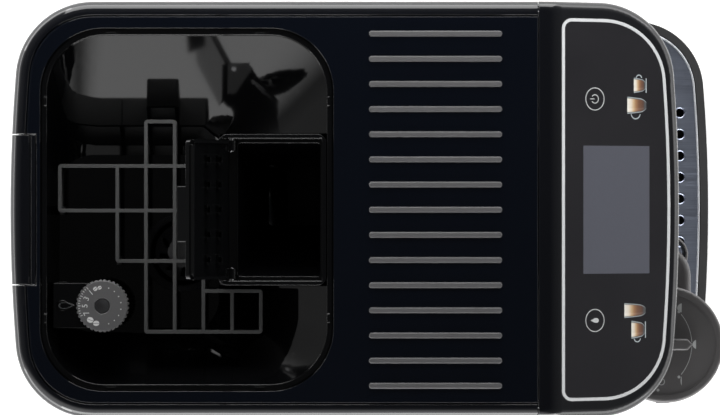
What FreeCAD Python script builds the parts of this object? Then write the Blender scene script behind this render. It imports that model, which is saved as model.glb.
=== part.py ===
import FreeCAD, Part
import math
import os

V = FreeCAD.Vector

# Bean-to-cup coffee machine. Millimetres, X across, front towards -Y, Z up from the table.

# Body
overall_depth = 422.0        # drip tray front to rear face
body_width = 240.0
body_depth = 388.0           # head front to rear face
deck_height = 353.0          # table to cup deck
corner_radius = 45.0         # upright corners in plan
end_crown_radius = 1000.0    # slight bow of the front and rear faces
wall = 2.5
shoulder_radius = 8.0        # rounding along the top of the casing
fit_gap = 0.4                # between neighbouring shells
run_gap = 0.6                # beside pieces that slide
pin_gap = 0.1                # round a turning pin
lap = 1.0                    # cutting and joining shapes run past a face by this

# Feet and base
foot_height = 8.0
foot_radius = 11.0
foot_taper = 1.0
foot_inset_x = 32.0
foot_inset_y = 42.0
base_thickness = 4.0

# Head with the sloped touch panel
head_depth = 84.0            # seam to head front
head_bottom_height = 262.0
panel_slope = 32.0           # degrees down towards the front
panel_break = 9.0            # seam to where the slope starts
break_radius = 20.0
head_edge_radius = 6.0
panel_wall = 3.0
strip_side_inset = 9.7       # light strip to the side of the head
strip_front_inset = 5.4
strip_rear_inset = 13.8      # light strip to the seam
strip_width = 1.8
strip_depth = 2.6
strip_front_radius = 37.0
strip_rear_radius = 6.0
glass_thickness = 2.2
panel_ledge = 4.0
display_width = 74.0
display_length = 49.0
display_depth = 3.6
display_from_break = 17.5    # along the slope
board_thickness = 1.6
board_drop = 9.0             # panel face to the board
board_pad_inset = 5.0
display_frame = 2.0          # module beyond its visible area

# Cup deck
deck_thickness = 3.0
deck_chamfer = 0.8
rib_count = 15
rib_side = 18.78             # body side to the outer ribs' middle
rib_width = 3.2
rib_length = 76.5
rib_height = 1.2
rib_front = 20.7             # seam to the front ends of the ribs

# Bean hopper
hopper_side = 16.0           # body side to the hopper opening
hopper_length = 168.0
hopper_from_rear = 18.0
hopper_corner = 36.0
hopper_depth = 57.0          # deck to the bowl floor
flange_width = 3.0
flange_drop = 2.0
flange_thickness = 5.0
flange_lip = 3.0             # reach of the flange under the deck
bowl_straight = 11.0         # upright part of the bowl wall
bowl_floor_left = 47.0       # from the grinder axis
bowl_floor_right = 57.0
bowl_floor_rear = 7.5        # from the rear of the opening
bowl_floor_corner = 20.0
throat_radius = 23.0
nub_width = 5.0
nub_reach = 1.6

# Finger guard over the grinder throat
guard_wall = 2.0
guard_drop = 17.0            # deck to the top of the guard
guard_height = 18.0
guard_pitch = 16.6
guard_from_front = 41.8      # hopper opening edge to the first column of cells
guard_rows = (51.0, 25.3, -0.5, -29.7, -47.0, -70.7)
guard_cells = ("4301", "7512", "5412", "4312", "3212", "5423", "4323", "3223", "4335", "3235", "2145", "1045")
guard_legs = ("72", "53", "44", "24", "22")
guard_leg_width = 5.0

# Service chute and its flap
chute_width = 79.0
chute_length = 49.0
chute_from_front = 7.0       # hopper opening edge to the chute
chute_side_wall = 4.0
chute_rear_wall = 10.0
chute_corner = 5.0
chute_inner_corner = 2.0
chute_drop = 2.6             # deck to the chute rim
chute_mid_inset = 9.5
chute_outlet_width = 34.0
chute_outlet_length = 16.0
chute_outlet_height = 250.0
chute_wall = 2.0
flap_open = 116.0            # degrees from shut
flap_thickness = 2.5
flap_side_gap = 0.8
flap_lip_height = 5.0
flap_lip_width = 3.5
flap_tab_width = 32.0
flap_tab_offset = -2.5
flap_tab_reach = 5.5         # finger lip above the flap
hinge_behind = 2.6           # chute opening to the flap axis
hinge_drop = 6.5             # deck to the flap axis
hinge_pin_radius = 1.6
knuckle_radius = 3.2
knuckle_length = 6.0
hinge_room = 2.4             # behind the knuckles for the open flap
knuckle_clear = 0.6          # flap plate to its knuckles
flap_seat_gap = 1.2          # flap axis to the seat under the flap
flap_corner = 3.0
hinge_tab_width = 14.6
hinge_tab_pitch = 28.7
hinge_tab_step = 0.6         # tabs are thinner than the flap by this
clip_count = 5
clip_pitch = 14.3
clip_width = 6.0
clip_length = 5.0
clip_height = 2.2
clip_rows = (17.0, 31.0)     # from the flap axis
flap_rib_width = 2.0

# Grind setting knob and the grinder
knob_x = -55.4
knob_from_rear = 53.2
knob_radius = 15.15
knob_height = 11.0
knob_flutes = 36
knob_flute_radius = 0.7
knob_chamfer = 1.0
knob_dimple_radius = 4.75
knob_dimple_depth = 1.2
knob_dimple_taper = 0.6
arm_width = 26.0
arm_drop = 15.0              # deck to the knob arm
pointer_length = 9.0
pointer_width = 6.0
pointer_height = 0.8
pointer_from_knob = 5.5
shaft_radius = 3.5
grinder_x = -25.0
gear_module = 1.25
pinion_teeth = 20
ring_teeth = 66
ring_sector_teeth = 15
gear_backlash = 0.16
pressure_angle = 20.0
root_depth = 1.25            # in modules
gear_width = 6.0
pinion_width = 10.0
ring_radius = 33.0
ring_height = 22.0
ring_bore_low = 18.6
ring_bore_high = 24.0
housing_radius = 36.0
housing_height = 34.0
housing_bore = 28.0
burr_low_radius = 24.0
burr_mid_radius = 17.4
burr_top_radius = 9.0
burr_height = 42.0
burr_flutes = 9
burr_flute_radius = 1.6
burr_flute_twist = 0.5       # radians from bottom to top
burr_clear = 3.0             # housing floor to the burr
motor_radius = 27.0
motor_height = 86.0
motor_shaft_share = 0.6      # where the burr shaft ends in the motor
motor_round = 3.0
stand_plate = 4.0
stand_leg = 8.0
spout_radius = 8.0
spout_wall = 1.5
spout_reach = 14.0           # housing to the end of the spout

# Brew unit
brew_x = 8.0
brew_from_grinder = 61.473   # between the grinder and brew axes, along Y
chamber_radius = 30.0
chamber_bore = 26.0
chamber_height = 64.0
chamber_top_height = 236.0
chamber_flange = 4.0
chamber_flange_height = 3.0
chamber_inlet_drop = 14.0    # chamber top to the water inlet
piston_gap = 0.3
piston_height = 8.0
piston_rod = 6.0
piston_arm = 8.0
piston_travel = 26.0
piston_boss = 3.0            # arm beyond the rod and the screw
screw_offset = 45.0
screw_radius = 5.0
frame_plate = 4.0
frame_post = 8.0
press_motor_radius = 16.0
press_motor_height = 48.0
press_motor_round = 2.0
screw_above_shelf = 6.0

# Water side
pump_side = 36.0             # body side to the pump axis
pump_height = 40.0           # axis above the table
pump_coil = 38.0
pump_coil_length = 34.0
pump_radius = 13.0
pump_length = 60.0
pump_from_tank = 143.0       # tank front to the pump's front end
nipple_radius = 4.0
nipple_length = 10.0
bracket_sheet = 2.0
bracket_margin = 5.0         # beyond the pump
coil_chamfer = 4.0
meter_from_grinder = 37.0    # between the meter and grinder axes, along X
meter_from_tank = 35.0
meter_radius = 14.0
meter_height = 20.0
meter_nipple = 6.0
heater_width = 38.0
heater_length = 56.0
heater_height = 76.0
heater_side = 25.0           # body side to the middle of the heater
heater_from_tank = 65.0      # tank front to the heater's front
heater_stand = 22.0
heater_fins = 5
heater_fin_width = 3.0
heater_fin_reach = 2.0
heater_leg = 6.0
heater_inlet_rise = 14.0
heater_outlet_back = 20.0
valve_block = 20.0
valve_out = 6.5              # valve to the side of the heater's middle
hose_radius = 3.0
bore_share = 0.6             # hose bore over its outside

# Water tank
tank_side = 40.0             # body side to the tank
tank_depth = 58.0
tank_top_height = 236.0
tank_bottom_height = 26.0
tank_wall = 2.2
handle_width = 86.0
handle_depth = 15.0
handle_ridge = 1.2
grip_width = 62.0
grip_height = 18.0
grip_depth = 10.5
grip_below_top = 14.0
outlet_height = 40.0         # tank valve axis above the table
valve_radius = 6.0
valve_flange = 10.0
dock_length = 20.0
dock_radius = 11.0

# Drip tray, grid and grounds container
tray_rim_height = 50.0
tray_rim_width = 5.0
tray_ledge = 3.0
grid_thickness = 2.0
grid_hole_radius = 2.8
grid_hole_chamfer = 0.6
grid_pitch = 13.6
grid_front_row = 18.0        # tray front to the first row of holes
grid_rows = 6
grid_columns = 10
tongue_inset = 3.0           # bin side to the tongue's side
tongue_short = 6.0           # tongue ends before the bin's rear
tongue_drop = 6.0
bin_side = 67.0              # body side to the bin
bin_height = 74.0
bin_bottom_height = 60.0
bin_to_brew = 26.0           # bin rear to the brew axis
bin_front_plate = 3.0
bin_front_margin = 5.0
bin_scoop_radius = 14.0
bin_corner = 5.0
rail_width = 3.0
rail_ledge = 6.0

# Outlets in the cup space
outlet_width = 54.0
outlet_front = 73.0          # seam to the front of the coffee outlet
outlet_top_gap = 5.0
outlet_height_z = 66.0
outlet_corner = 12.0
outlet_round = 5.0
outlet_skirt = 12.0          # hood bottom to its back part
bridge_rise = 8.0            # hood bottom to the nozzle bridge
bridge_margin = 3.0
outlet_travel = 38.0
guide_width = 20.0
guide_depth = 3.5
nozzle_spacing = 26.0
nozzle_radius = 6.0
nozzle_length = 9.0
nozzle_neck = 4.0
nozzle_wall = 3.0
milk_side = 39.4             # body side to the milk block's middle
cap_centre = 80.0            # seam to the centre of the milk cap
cap_radius = 35.0
cap_thickness = 6.0
cap_height = 232.0           # table to the top of the cap
cap_dish = 0.5
cap_rim = 2.4
selector_axis = 67.5         # seam to the selector axis
selector_reach = 29.0
selector_width = 6.8
selector_height = 6.0
selector_hub = 9.0
selector_pin = 3.5
selector_pin_drop = 4.0      # below the cap
selector_round = 1.2
milk_body_top = 31.0
milk_body_low = 22.0
milk_body_height = 62.0
steam_height = 200.0
steam_radius = 6.0
steam_length = 25.0
steam_flange = 11.0
sleeve_radius = 10.0
spout_x = -27.0
spout_from_seam = 83.0
collar_radius = 11.5
collar_bore = 9.7
collar_height = 28.0
arm_height = 22.0
arm_front = 96.0             # seam to the front of the arm
arm_rear = 74.0
arm_end_x = -20.0
arm_front_corner = 20.0
arm_rear_corner = 2.0
milk_outlet_radius = 5.0
milk_outlet_wall = 1.5
milk_mouth_length = 8.0
milk_port_drop = 22.0        # cap to the milk hose port
milk_port_reach = 5.0
arm_round = 4.0
collar_round = 1.4
collar_drop = 3.0            # arm top to the collar top

# Boards and power entry
board_length = 130.0
board_height = 120.0
board_bottom_height = 80.0
board_from_seam = 23.0
board_standoff = 5.5
board_boss_inset = 8.0
board_blocks = ((16, 12, 34, 14, 40), (22, 50, 84, 12, 44), (12, 20, 80, 70, 74))
capacitors = 3
capacitor_radius = 5.0
capacitor_length = 18.0
gland_side = 24.0            # body side to the gland
gland_height = 40.0
gland_radius = 8.0
gland_bore = 3.6
gland_length = 22.0
gland_flange = 11.0
gland_flange_length = 4.0
gland_proud = 1.0
screw_head_radius = 3.5
screw_head_height = 1.6
screw_head_taper = 0.8
screw_inset_x = 54.0
screw_inset_y = 50.0

# Places that follow from the sizes above
rear_y = overall_depth / 2
tray_front_y = -overall_depth / 2
head_front_y = rear_y - body_depth
seam_y = head_front_y + head_depth
half_width = body_width / 2
hopper_width = body_width - 2 * hopper_side
rib_pitch = (body_width - 2 * rib_side) / (rib_count - 1)
tank_width = body_width - 2 * tank_side
bin_width = body_width - 2 * bin_side
tongue_width = bin_width - 2 * tongue_inset
pump_x = pump_side - half_width
meter_x = grinder_x - meter_from_grinder
heater_x = half_width - heater_side
milk_x = milk_side - half_width
gland_x = half_width - gland_side
base_top = foot_height + base_thickness
break_y = seam_y - panel_break
deck_inset = shoulder_radius + fit_gap
hopper_rear_y = rear_y - hopper_from_rear
hopper_front_y = hopper_rear_y - hopper_length
flange_top = deck_height - flange_drop
bowl_floor_z = deck_height - hopper_depth
hopper_bottom_z = bowl_floor_z - wall
chute_front_y = hopper_front_y + chute_from_front
chute_rear_y = chute_front_y + chute_length
chute_back_y = chute_rear_y + chute_rear_wall
chute_half = chute_width / 2 + chute_side_wall
chute_top = deck_height - chute_drop
hinge_y = chute_rear_y + hinge_behind
hinge_z = deck_height - hinge_drop
knob_y = rear_y - knob_from_rear
gear_distance = gear_module * (pinion_teeth + ring_teeth) / 2
grinder_y = knob_y - math.sqrt(gear_distance ** 2 - (grinder_x - knob_x) ** 2)
brew_y = grinder_y - brew_from_grinder
mesh_angle = math.degrees(math.atan2(knob_y - grinder_y, knob_x - grinder_x))
ring_top_z = hopper_bottom_z - fit_gap
ring_bottom_z = ring_top_z - ring_height
gear_z = ring_bottom_z + ring_height / 3
housing_top_z = ring_bottom_z - fit_gap
housing_bottom_z = housing_top_z - housing_height
motor_bottom_z = housing_bottom_z - motor_height
arm_top_z = deck_height - arm_drop
knob_bottom_z = arm_top_z + fit_gap
tank_front_y = rear_y - tank_depth
handle_front_y = rear_y - handle_depth
pump_front_y = tank_front_y - pump_from_tank
meter_y = tank_front_y - meter_from_tank
heater_front_y = tank_front_y - heater_from_tank
board_front_y = seam_y + board_from_seam
chamber_bottom_z = chamber_top_height - chamber_height
shelf_z = chamber_bottom_z + chamber_height / 3
arm_low_z = chamber_bottom_z - piston_travel - piston_arm - 4 * fit_gap
screw_x = brew_x + screw_offset
motor_plate_z = arm_low_z - 3 * piston_arm
cap_y = seam_y - cap_centre
selector_y = seam_y - selector_axis
spout_y = seam_y - spout_from_seam
outlet_top_z = head_bottom_height - outlet_top_gap
outlet_low_z = outlet_top_z - outlet_height_z
nozzle_y = seam_y - outlet_front * 0.6
bin_rear_y = brew_y - bin_to_brew
tongue_rear_y = bin_rear_y - tongue_short
pump_rear_y = pump_front_y + pump_length
heater_top_z = base_top + heater_stand + heater_height


# Drawing helpers

def box(x0, x1, y0, y1, z0, z1):
    return Part.makeBox(x1 - x0, y1 - y0, z1 - z0, V(x0, y0, z0))


def upright(x, y, radius, z0, z1):
    return Part.makeCylinder(radius, z1 - z0, V(x, y, z0))


def rod(start, end, radius):
    along = end - start
    return Part.makeCylinder(radius, along.Length, start, along)


def fuse(shapes):
    result = shapes[0]
    if len(shapes) > 1:
        result = shapes[0].fuse(shapes[1:])
    return result.removeSplitter()


def line(a, b):
    return Part.LineSegment(a, b).toShape()


def arc(a, b, c):
    return Part.Arc(a, b, c).toShape()


def end_corner(half, end_y, radius, crown, side):
    # Corner centre and the point where the corner meets the bowed end; side is +1 rear, -1 front
    if crown == 0:
        return end_y - side * radius, V(half - radius, end_y, 0), V(0, side, 0)
    reach = math.sqrt((crown - radius) ** 2 - (half - radius) ** 2)
    centre_y = end_y - side * (crown - reach)
    toward = V(half - radius, side * reach, 0).normalize()
    meet = V(0, end_y - side * crown, 0) + toward * crown
    return centre_y, meet, toward


def plan_wire(half, front_y, rear_end_y, front_radius, rear_radius, front_crown, rear_crown):
    # Plan outline with rounded corners and bowed ends, drawn anticlockwise at z = 0
    fy, f_meet, f_toward = end_corner(half, front_y, front_radius, front_crown, -1)
    ry, r_meet, r_toward = end_corner(half, rear_end_y, rear_radius, rear_crown, 1)

    def corner_mid(centre_y, radius, toward):
        middle = (V(1, 0, 0) + toward).normalize()
        return V(half - radius, centre_y, 0) + middle * radius

    def flip(p):
        return V(-p.x, p.y, p.z)

    def end_edge(end_y, crown, a, b):
        if crown == 0:
            return line(a, b)
        return arc(a, V(0, end_y, 0), b)

    r_mid = corner_mid(ry, rear_radius, r_toward)
    f_mid = corner_mid(fy, front_radius, f_toward)
    right_front = V(half, fy, 0)
    right_rear = V(half, ry, 0)
    edges = [line(right_front, right_rear),
             arc(right_rear, r_mid, r_meet),
             end_edge(rear_end_y, rear_crown, r_meet, flip(r_meet)),
             arc(flip(r_meet), flip(r_mid), flip(right_rear)),
             line(flip(right_rear), flip(right_front)),
             arc(flip(right_front), flip(f_mid), flip(f_meet)),
             end_edge(front_y, front_crown, flip(f_meet), f_meet),
             arc(f_meet, f_mid, right_front)]
    return Part.Wire(edges)


def rect_wire(x0, x1, y0, y1, radius, z):
    k = radius * (1 - math.sqrt(0.5))
    edges = [line(V(x0 + radius, y0, z), V(x1 - radius, y0, z)),
             arc(V(x1 - radius, y0, z), V(x1 - k, y0 + k, z), V(x1, y0 + radius, z)),
             line(V(x1, y0 + radius, z), V(x1, y1 - radius, z)),
             arc(V(x1, y1 - radius, z), V(x1 - k, y1 - k, z), V(x1 - radius, y1, z)),
             line(V(x1 - radius, y1, z), V(x0 + radius, y1, z)),
             arc(V(x0 + radius, y1, z), V(x0 + k, y1 - k, z), V(x0, y1 - radius, z)),
             line(V(x0, y1 - radius, z), V(x0, y0 + radius, z)),
             arc(V(x0, y0 + radius, z), V(x0 + k, y0 + k, z), V(x0 + radius, y0, z))]
    return Part.Wire(edges)


def prism(wire, z0, z1):
    face = Part.Face(wire)
    face.translate(V(0, 0, z0 - wire.BoundBox.ZMin))
    return face.extrude(V(0, 0, z1 - z0))


def rounded_box(x0, x1, y0, y1, z0, z1, radius):
    return prism(rect_wire(x0, x1, y0, y1, radius, z0), z0, z1)


def body_prism(inset, z0, z1, front_y=None):
    front = head_front_y if front_y is None else front_y
    r = corner_radius - inset
    crown = end_crown_radius - inset
    wire = plan_wire(half_width - inset, front + inset, rear_y - inset, r, r, crown, crown)
    return prism(wire, z0, z1)


def top_edges(shape, z):
    near = 0.01
    return [e for e in shape.Edges
            if abs(e.BoundBox.ZMin - z) < near and abs(e.BoundBox.ZMax - z) < near]


def behind(y):
    return box(-body_width, body_width, y, overall_depth, -deck_height, 2 * deck_height)


def casing_solid():
    solid = body_prism(0, base_top, deck_height)
    return solid.makeFillet(shoulder_radius, top_edges(solid, deck_height))


def slope_slab(low, high):
    # Slab parallel to the touch panel; offsets are along the panel's outward normal
    slab = box(-body_width, body_width, -body_depth, body_depth, low, high)
    slab.rotate(V(0, 0, 0), V(1, 0, 0), panel_slope)
    slab.translate(V(0, break_y, deck_height))
    return slab


def slope_point(x, along, out):
    a = math.radians(panel_slope)
    return V(x, break_y - along * math.cos(a) - out * math.sin(a),
             deck_height - along * math.sin(a) + out * math.cos(a))


def strip_prism(inset):
    # Upright prism of the light strip's outer outline, drawn in by inset
    wire = plan_wire(half_width - strip_side_inset - inset, head_front_y + strip_front_inset + inset,
                     seam_y - strip_rear_inset - inset, strip_front_radius - inset,
                     strip_rear_radius - inset, end_crown_radius, 0)
    return prism(wire, head_bottom_height, deck_height + panel_wall)


def tube(points, radius):
    # Bent tube: straight runs joined by tangent arcs
    edges = []
    start = points[0]
    for before, here, after in zip(points, points[1:], points[2:]):
        u = (before - here).normalize()
        w = (after - here).normalize()
        reach = 0.45 * min((before - here).Length, (after - here).Length)
        half_turn = (math.pi - u.getAngle(w)) / 2
        bend = reach / math.tan(half_turn)
        a = here + u * reach
        b = here + w * reach
        toward = (u + w).normalize()
        centre = here + toward * (bend / math.cos(half_turn))
        edges.append(line(start, a))
        edges.append(arc(a, centre - toward * bend, b))
        start = b
    edges.append(line(start, points[-1]))
    path = Part.Wire(edges)
    first = points[1] - points[0]
    ring = Part.Wire([Part.makeCircle(radius, points[0], first)])
    outer = path.makePipeShell([ring], True, True)
    bore = Part.Wire([Part.makeCircle(radius * bore_share, points[0], first)])
    inner = path.makePipeShell([bore], True, True)
    return outer.cut(inner)


# Outer body

def rubber_feet():
    feet = []
    for x in (-half_width + foot_inset_x, half_width - foot_inset_x):
        for y in (tray_front_y + foot_inset_y, rear_y - foot_inset_y):
            foot = Part.makeCone(foot_radius - foot_taper, foot_radius, foot_height, V(x, y, 0))
            feet.append(foot)
    return Part.makeCompound(feet)


def base_plate():
    base = body_prism(fit_gap, foot_height, base_top, tray_front_y + wall)
    parts = [base]
    rail_top = bin_bottom_height - fit_gap
    for side in (-1, 1):
        outer = side * (bin_width / 2 + rail_width + run_gap)
        inner = side * (bin_width / 2 + run_gap)
        lip = side * (bin_width / 2 - rail_ledge)
        x0, x1 = sorted((outer, inner))
        parts.append(box(x0, x1, seam_y + 4 * wall, bin_rear_y, foot_height + lap, rail_top))
        x0, x1 = sorted((outer, lip))
        parts.append(box(x0, x1, seam_y + 4 * wall, bin_rear_y, rail_top - rail_width, rail_top))
        mid = side * tank_width * 0.35
        parts.append(box(mid - rail_width, mid + rail_width, tank_front_y + wall, rear_y - 4 * wall,
                         foot_height + lap, tank_bottom_height - fit_gap))
    return fuse(parts)


def tank_envelope(gap):
    low = box(-tank_width / 2 - gap, tank_width / 2 + gap, tank_front_y - gap, rear_y + gap,
              tank_bottom_height - 3 * gap, tank_top_height + gap)
    neck = box(-handle_width / 2 - gap, handle_width / 2 + gap, handle_front_y - gap, rear_y + gap,
               tank_top_height - gap, deck_height + wall)
    return low.fuse(neck)


def side_casing(side):
    shell = casing_solid()
    lower = deck_height - deck_thickness - 2 * wall
    shell = shell.cut(body_prism(wall, base_top - wall, lower))
    shell = shell.cut(body_prism(deck_inset + wall, lower - wall, deck_height + wall))
    seat = deck_height - deck_thickness - fit_gap
    shell = shell.cut(body_prism(shoulder_radius, seat, deck_height + wall))
    shell = shell.common(behind(seam_y))
    shell = shell.cut(tank_envelope(run_gap))
    keep = box(0, body_width, -overall_depth, overall_depth, 0, 2 * deck_height)
    if side < 0:
        keep = box(-body_width, 0, -overall_depth, overall_depth, 0, 2 * deck_height)
    shell = shell.common(keep)
    if side > 0:
        hole = rod(V(gland_x, 0, gland_height), V(gland_x, overall_depth, gland_height),
                   gland_radius + fit_gap)
        return shell.cut(hole)
    bosses = []
    inner = -half_width + wall + board_standoff
    inset = board_boss_inset
    for y in (board_front_y + inset, board_front_y + board_length - inset):
        for z in (board_bottom_height + inset, board_bottom_height + board_height - inset):
            bosses.append(rod(V(-half_width + wall / 2, y, z), V(inner, y, z), wall))
    return fuse([shell] + bosses)


def front_bulkhead():
    x = half_width - wall - fit_gap
    z0 = tray_rim_height + run_gap
    plate = box(-x, x, seam_y, seam_y + wall, z0, deck_height - deck_thickness - 2 * wall - fit_gap)
    w = bin_width / 2 + run_gap
    plate = plate.cut(box(-w, w, seam_y - lap, seam_y + 2 * wall, z0 - lap,
                          bin_bottom_height + bin_height + run_gap))
    hole = rod(V(milk_x, seam_y - lap, steam_height), V(milk_x, seam_y + 2 * wall, steam_height),
               steam_radius + fit_gap)
    hose_slot = box(-nozzle_spacing / 4, nozzle_spacing / 4, seam_y - lap, seam_y + 2 * wall,
                    head_bottom_height + wall, head_bottom_height + nozzle_spacing)
    return plate.cut(hole).cut(hose_slot)


def deck_cut():
    gap = fit_gap
    half = hopper_width / 2 + gap
    return rounded_box(-half, half, hopper_front_y - gap, hopper_rear_y + gap,
                       deck_height - 4 * deck_thickness, deck_height + wall, hopper_corner + gap)


def top_cover():
    cover = body_prism(deck_inset, deck_height - deck_thickness, deck_height)
    cover = cover.makeChamfer(deck_chamfer, top_edges(cover, deck_height))
    cover = cover.common(behind(seam_y + fit_gap / 2))
    cover = cover.cut(deck_cut()).cut(tank_envelope(run_gap))
    ribs = []
    y0 = seam_y + rib_front
    for k in range(rib_count):
        x = (k - (rib_count - 1) / 2) * rib_pitch
        r = rib_width * 0.48
        rib = rounded_box(x - rib_width / 2, x + rib_width / 2, y0, y0 + rib_length,
                          deck_height - deck_thickness / 2, deck_height + rib_height, r)
        ribs.append(rib.makeChamfer(rib_height / 2, top_edges(rib, deck_height + rib_height)))
    return fuse([cover] + ribs)


def head_block(inset):
    # Outside of the head, drawn in by inset on every side but the seam
    block = body_prism(inset, head_bottom_height, deck_height - inset)
    block = block.cut(behind(seam_y - fit_gap))
    block = block.cut(slope_slab(-inset, body_depth))
    breaks = [e for e in block.Edges
              if e.BoundBox.YLength < 0.01 and e.BoundBox.ZLength < 0.01
              and abs(e.BoundBox.ZMin - (deck_height - inset)) < 0.01
              and e.BoundBox.YMin < seam_y - fit_gap - lap]
    block = block.makeFillet(break_radius - inset, breaks)
    rim = []
    for e in block.Edges:
        b = e.BoundBox
        low_front = deck_height - inset - (break_y - head_front_y) * math.tan(math.radians(panel_slope))
        on_top = b.ZMin > low_front - 3 * wall
        upright_edge = b.XLength < 0.01 and b.YLength < 0.01
        across = b.XMax > half_width / 2 and b.XMin < -half_width / 2 and b.YMin > head_front_y + 3 * wall
        if on_top and not upright_edge and not across and b.YMax - b.YMin + b.XLength > 0.5:
            rim.append(e)
    return block.makeFillet(head_edge_radius - inset, rim)


def head_shell():
    shell = head_block(0)
    hollow = body_prism(wall, head_bottom_height - wall, deck_height - panel_wall)
    hollow = hollow.cut(behind(seam_y)).cut(slope_slab(-panel_wall, body_depth))
    shell = shell.cut(hollow)
    shell = shell.cut(strip_prism(-fit_gap / 4).common(slope_slab(-strip_depth, body_depth / 8)))
    window = strip_prism(panel_ledge).common(slope_slab(-2 * panel_wall, body_depth / 8))
    return shell.cut(window)


def head_underside():
    plate = body_prism(wall + fit_gap, head_bottom_height, head_bottom_height + wall)
    plate = plate.cut(behind(seam_y - fit_gap))
    y = nozzle_y
    return plate.cut(upright(0, y, nozzle_radius, head_bottom_height - lap, head_bottom_height + 2 * wall))


def light_strip():
    ring = strip_prism(0).cut(strip_prism(strip_width))
    return ring.common(slope_slab(-strip_depth, 0.1))


def touch_panel():
    return strip_prism(strip_width + fit_gap / 4).common(slope_slab(-glass_thickness, 0))


def tilted_box(half_x, along0, along1, low, high):
    block = box(-half_x, half_x, -along1, -along0, low, high)
    block.rotate(V(0, 0, 0), V(1, 0, 0), panel_slope)
    block.translate(V(0, break_y, deck_height))
    return block


def display_module():
    top = -glass_thickness - fit_gap / 4
    f = display_frame
    return tilted_box(display_width / 2 + f, display_from_break - f, display_from_break + display_length + f,
                      top - display_depth, top)


def touch_board():
    layer = slope_slab(-board_drop - board_thickness, -board_drop)
    board = strip_prism(panel_ledge + strip_width).common(layer)
    posts = []
    for x in (-half_width * 0.7, half_width * 0.7):
        for along in (display_from_break, display_from_break + display_length * 0.6):
            posts.append(rod(slope_point(x, along, -board_drop - board_thickness / 2),
                             slope_point(x, along, -glass_thickness - fit_gap / 4), wall))
    pad = tilted_box(display_width / 3, display_from_break + board_pad_inset,
                     display_from_break + display_length - board_pad_inset,
                     -board_drop - board_thickness / 2, -glass_thickness - display_depth - fit_gap)
    return fuse([board, pad] + posts)


# Bean hopper, guard, chute and flap

def hopper_wires(extra):
    # Section outlines of the bowl from the rim to the floor, grown by extra
    half = hopper_width / 2 - fit_gap - flange_width + extra
    y0 = hopper_front_y + fit_gap + flange_width - extra
    y1 = hopper_rear_y - fit_gap - flange_width + extra
    r = hopper_corner - flange_width + extra
    low = bowl_floor_z - extra
    rim = rect_wire(-half, half, y0, y1, r, flange_top + wall)
    knee = rect_wire(-half, half, y0, y1, r, flange_top - bowl_straight)
    floor = rect_wire(grinder_x - bowl_floor_left - extra, grinder_x + bowl_floor_right + extra,
                      chute_back_y + lap - extra, hopper_rear_y - bowl_floor_rear + extra,
                      bowl_floor_corner + extra, low)
    return rim, knee, floor


def bowl_solid(extra):
    rim, knee, floor = hopper_wires(extra)
    upper = prism(knee, flange_top - bowl_straight, flange_top + wall)
    lower = Part.makeLoft([knee, floor], True, True)
    return upper.fuse(lower)


def arm_plan(gap, z0, z1):
    half = arm_width / 2 - gap
    bar = box(knob_x - half, knob_x + half, knob_y, hopper_rear_y - bowl_floor_rear + wall / 2, z0, z1)
    return bar.fuse(upright(knob_x, knob_y, half, z0, z1))


def bean_hopper():
    out = fit_gap
    half = hopper_width / 2 - out
    flange = rounded_box(-half, half, hopper_front_y + out, hopper_rear_y - out,
                         flange_top - flange_thickness, flange_top, hopper_corner - out)
    lip = rounded_box(-half - flange_lip, half + flange_lip, hopper_front_y + out - flange_lip,
                      hopper_rear_y - out + flange_lip, flange_top - flange_thickness,
                      deck_height - deck_thickness - fit_gap, hopper_corner - out + flange_lip)
    lip = lip.cut(tank_envelope(run_gap + fit_gap))
    outer = bowl_solid(wall).common(box(-body_width, body_width, -body_depth, body_depth, 0, flange_top))
    shell = fuse([flange, lip, outer])
    shell = shell.cut(bowl_solid(0))
    shell = shell.fuse(arm_plan(0, hopper_bottom_z, arm_top_z))
    tip = arm_top_z + pointer_height
    py = knob_y + knob_radius + pointer_from_knob
    wide_y = py + pointer_length / 3
    r = pointer_width / 2
    low = arm_top_z - lap
    drop = upright(knob_x, wide_y, r, low, tip)
    point = Part.makePolygon([V(knob_x - r, wide_y, low), V(knob_x, py - pointer_length / 2, low),
                              V(knob_x + r, wide_y, low), V(knob_x - r, wide_y, low)])
    shell = shell.fuse([drop, prism(point, low, tip)])
    gap = fit_gap
    shell = shell.cut(box(-chute_half - gap, chute_half + gap, hopper_front_y + flange_width + gap,
                          chute_back_y + gap, hopper_bottom_z - wall, deck_height))
    under = hopper_bottom_z - lap
    shell = shell.cut(upright(grinder_x, grinder_y, throat_radius, under, bowl_floor_z + lap))
    shell = shell.cut(upright(knob_x, knob_y, shaft_radius + pin_gap, under, arm_top_z + lap))
    return fuse([shell] + hopper_nubs())


def hopper_nubs():
    # Small snap nubs on the ledge of the flange
    nubs = []
    top = flange_top + flange_drop / 2
    inner = hopper_width / 2 - fit_gap - flange_width
    front = hopper_front_y + fit_gap + flange_width
    rear = hopper_rear_y - fit_gap - flange_width
    w = nub_width / 2
    z0 = flange_top - lap
    for y in (hopper_rear_y - hopper_length * 0.24, hopper_rear_y - hopper_length * 0.75):
        for side in (-1, 1):
            x0, x1 = sorted((side * inner, side * (inner + nub_reach)))
            nubs.append(box(x0, x1, y - w, y + w, z0, top))
    for x in (hopper_width * 0.3, -hopper_width * 0.3):
        nubs.append(box(x - w, x + w, front - nub_reach, front, z0, top))
        nubs.append(box(x - w, x + w, rear, rear + nub_reach, z0, top))
    return nubs


def guard_column(k):
    return hopper_front_y + guard_from_front + k * guard_pitch


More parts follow.
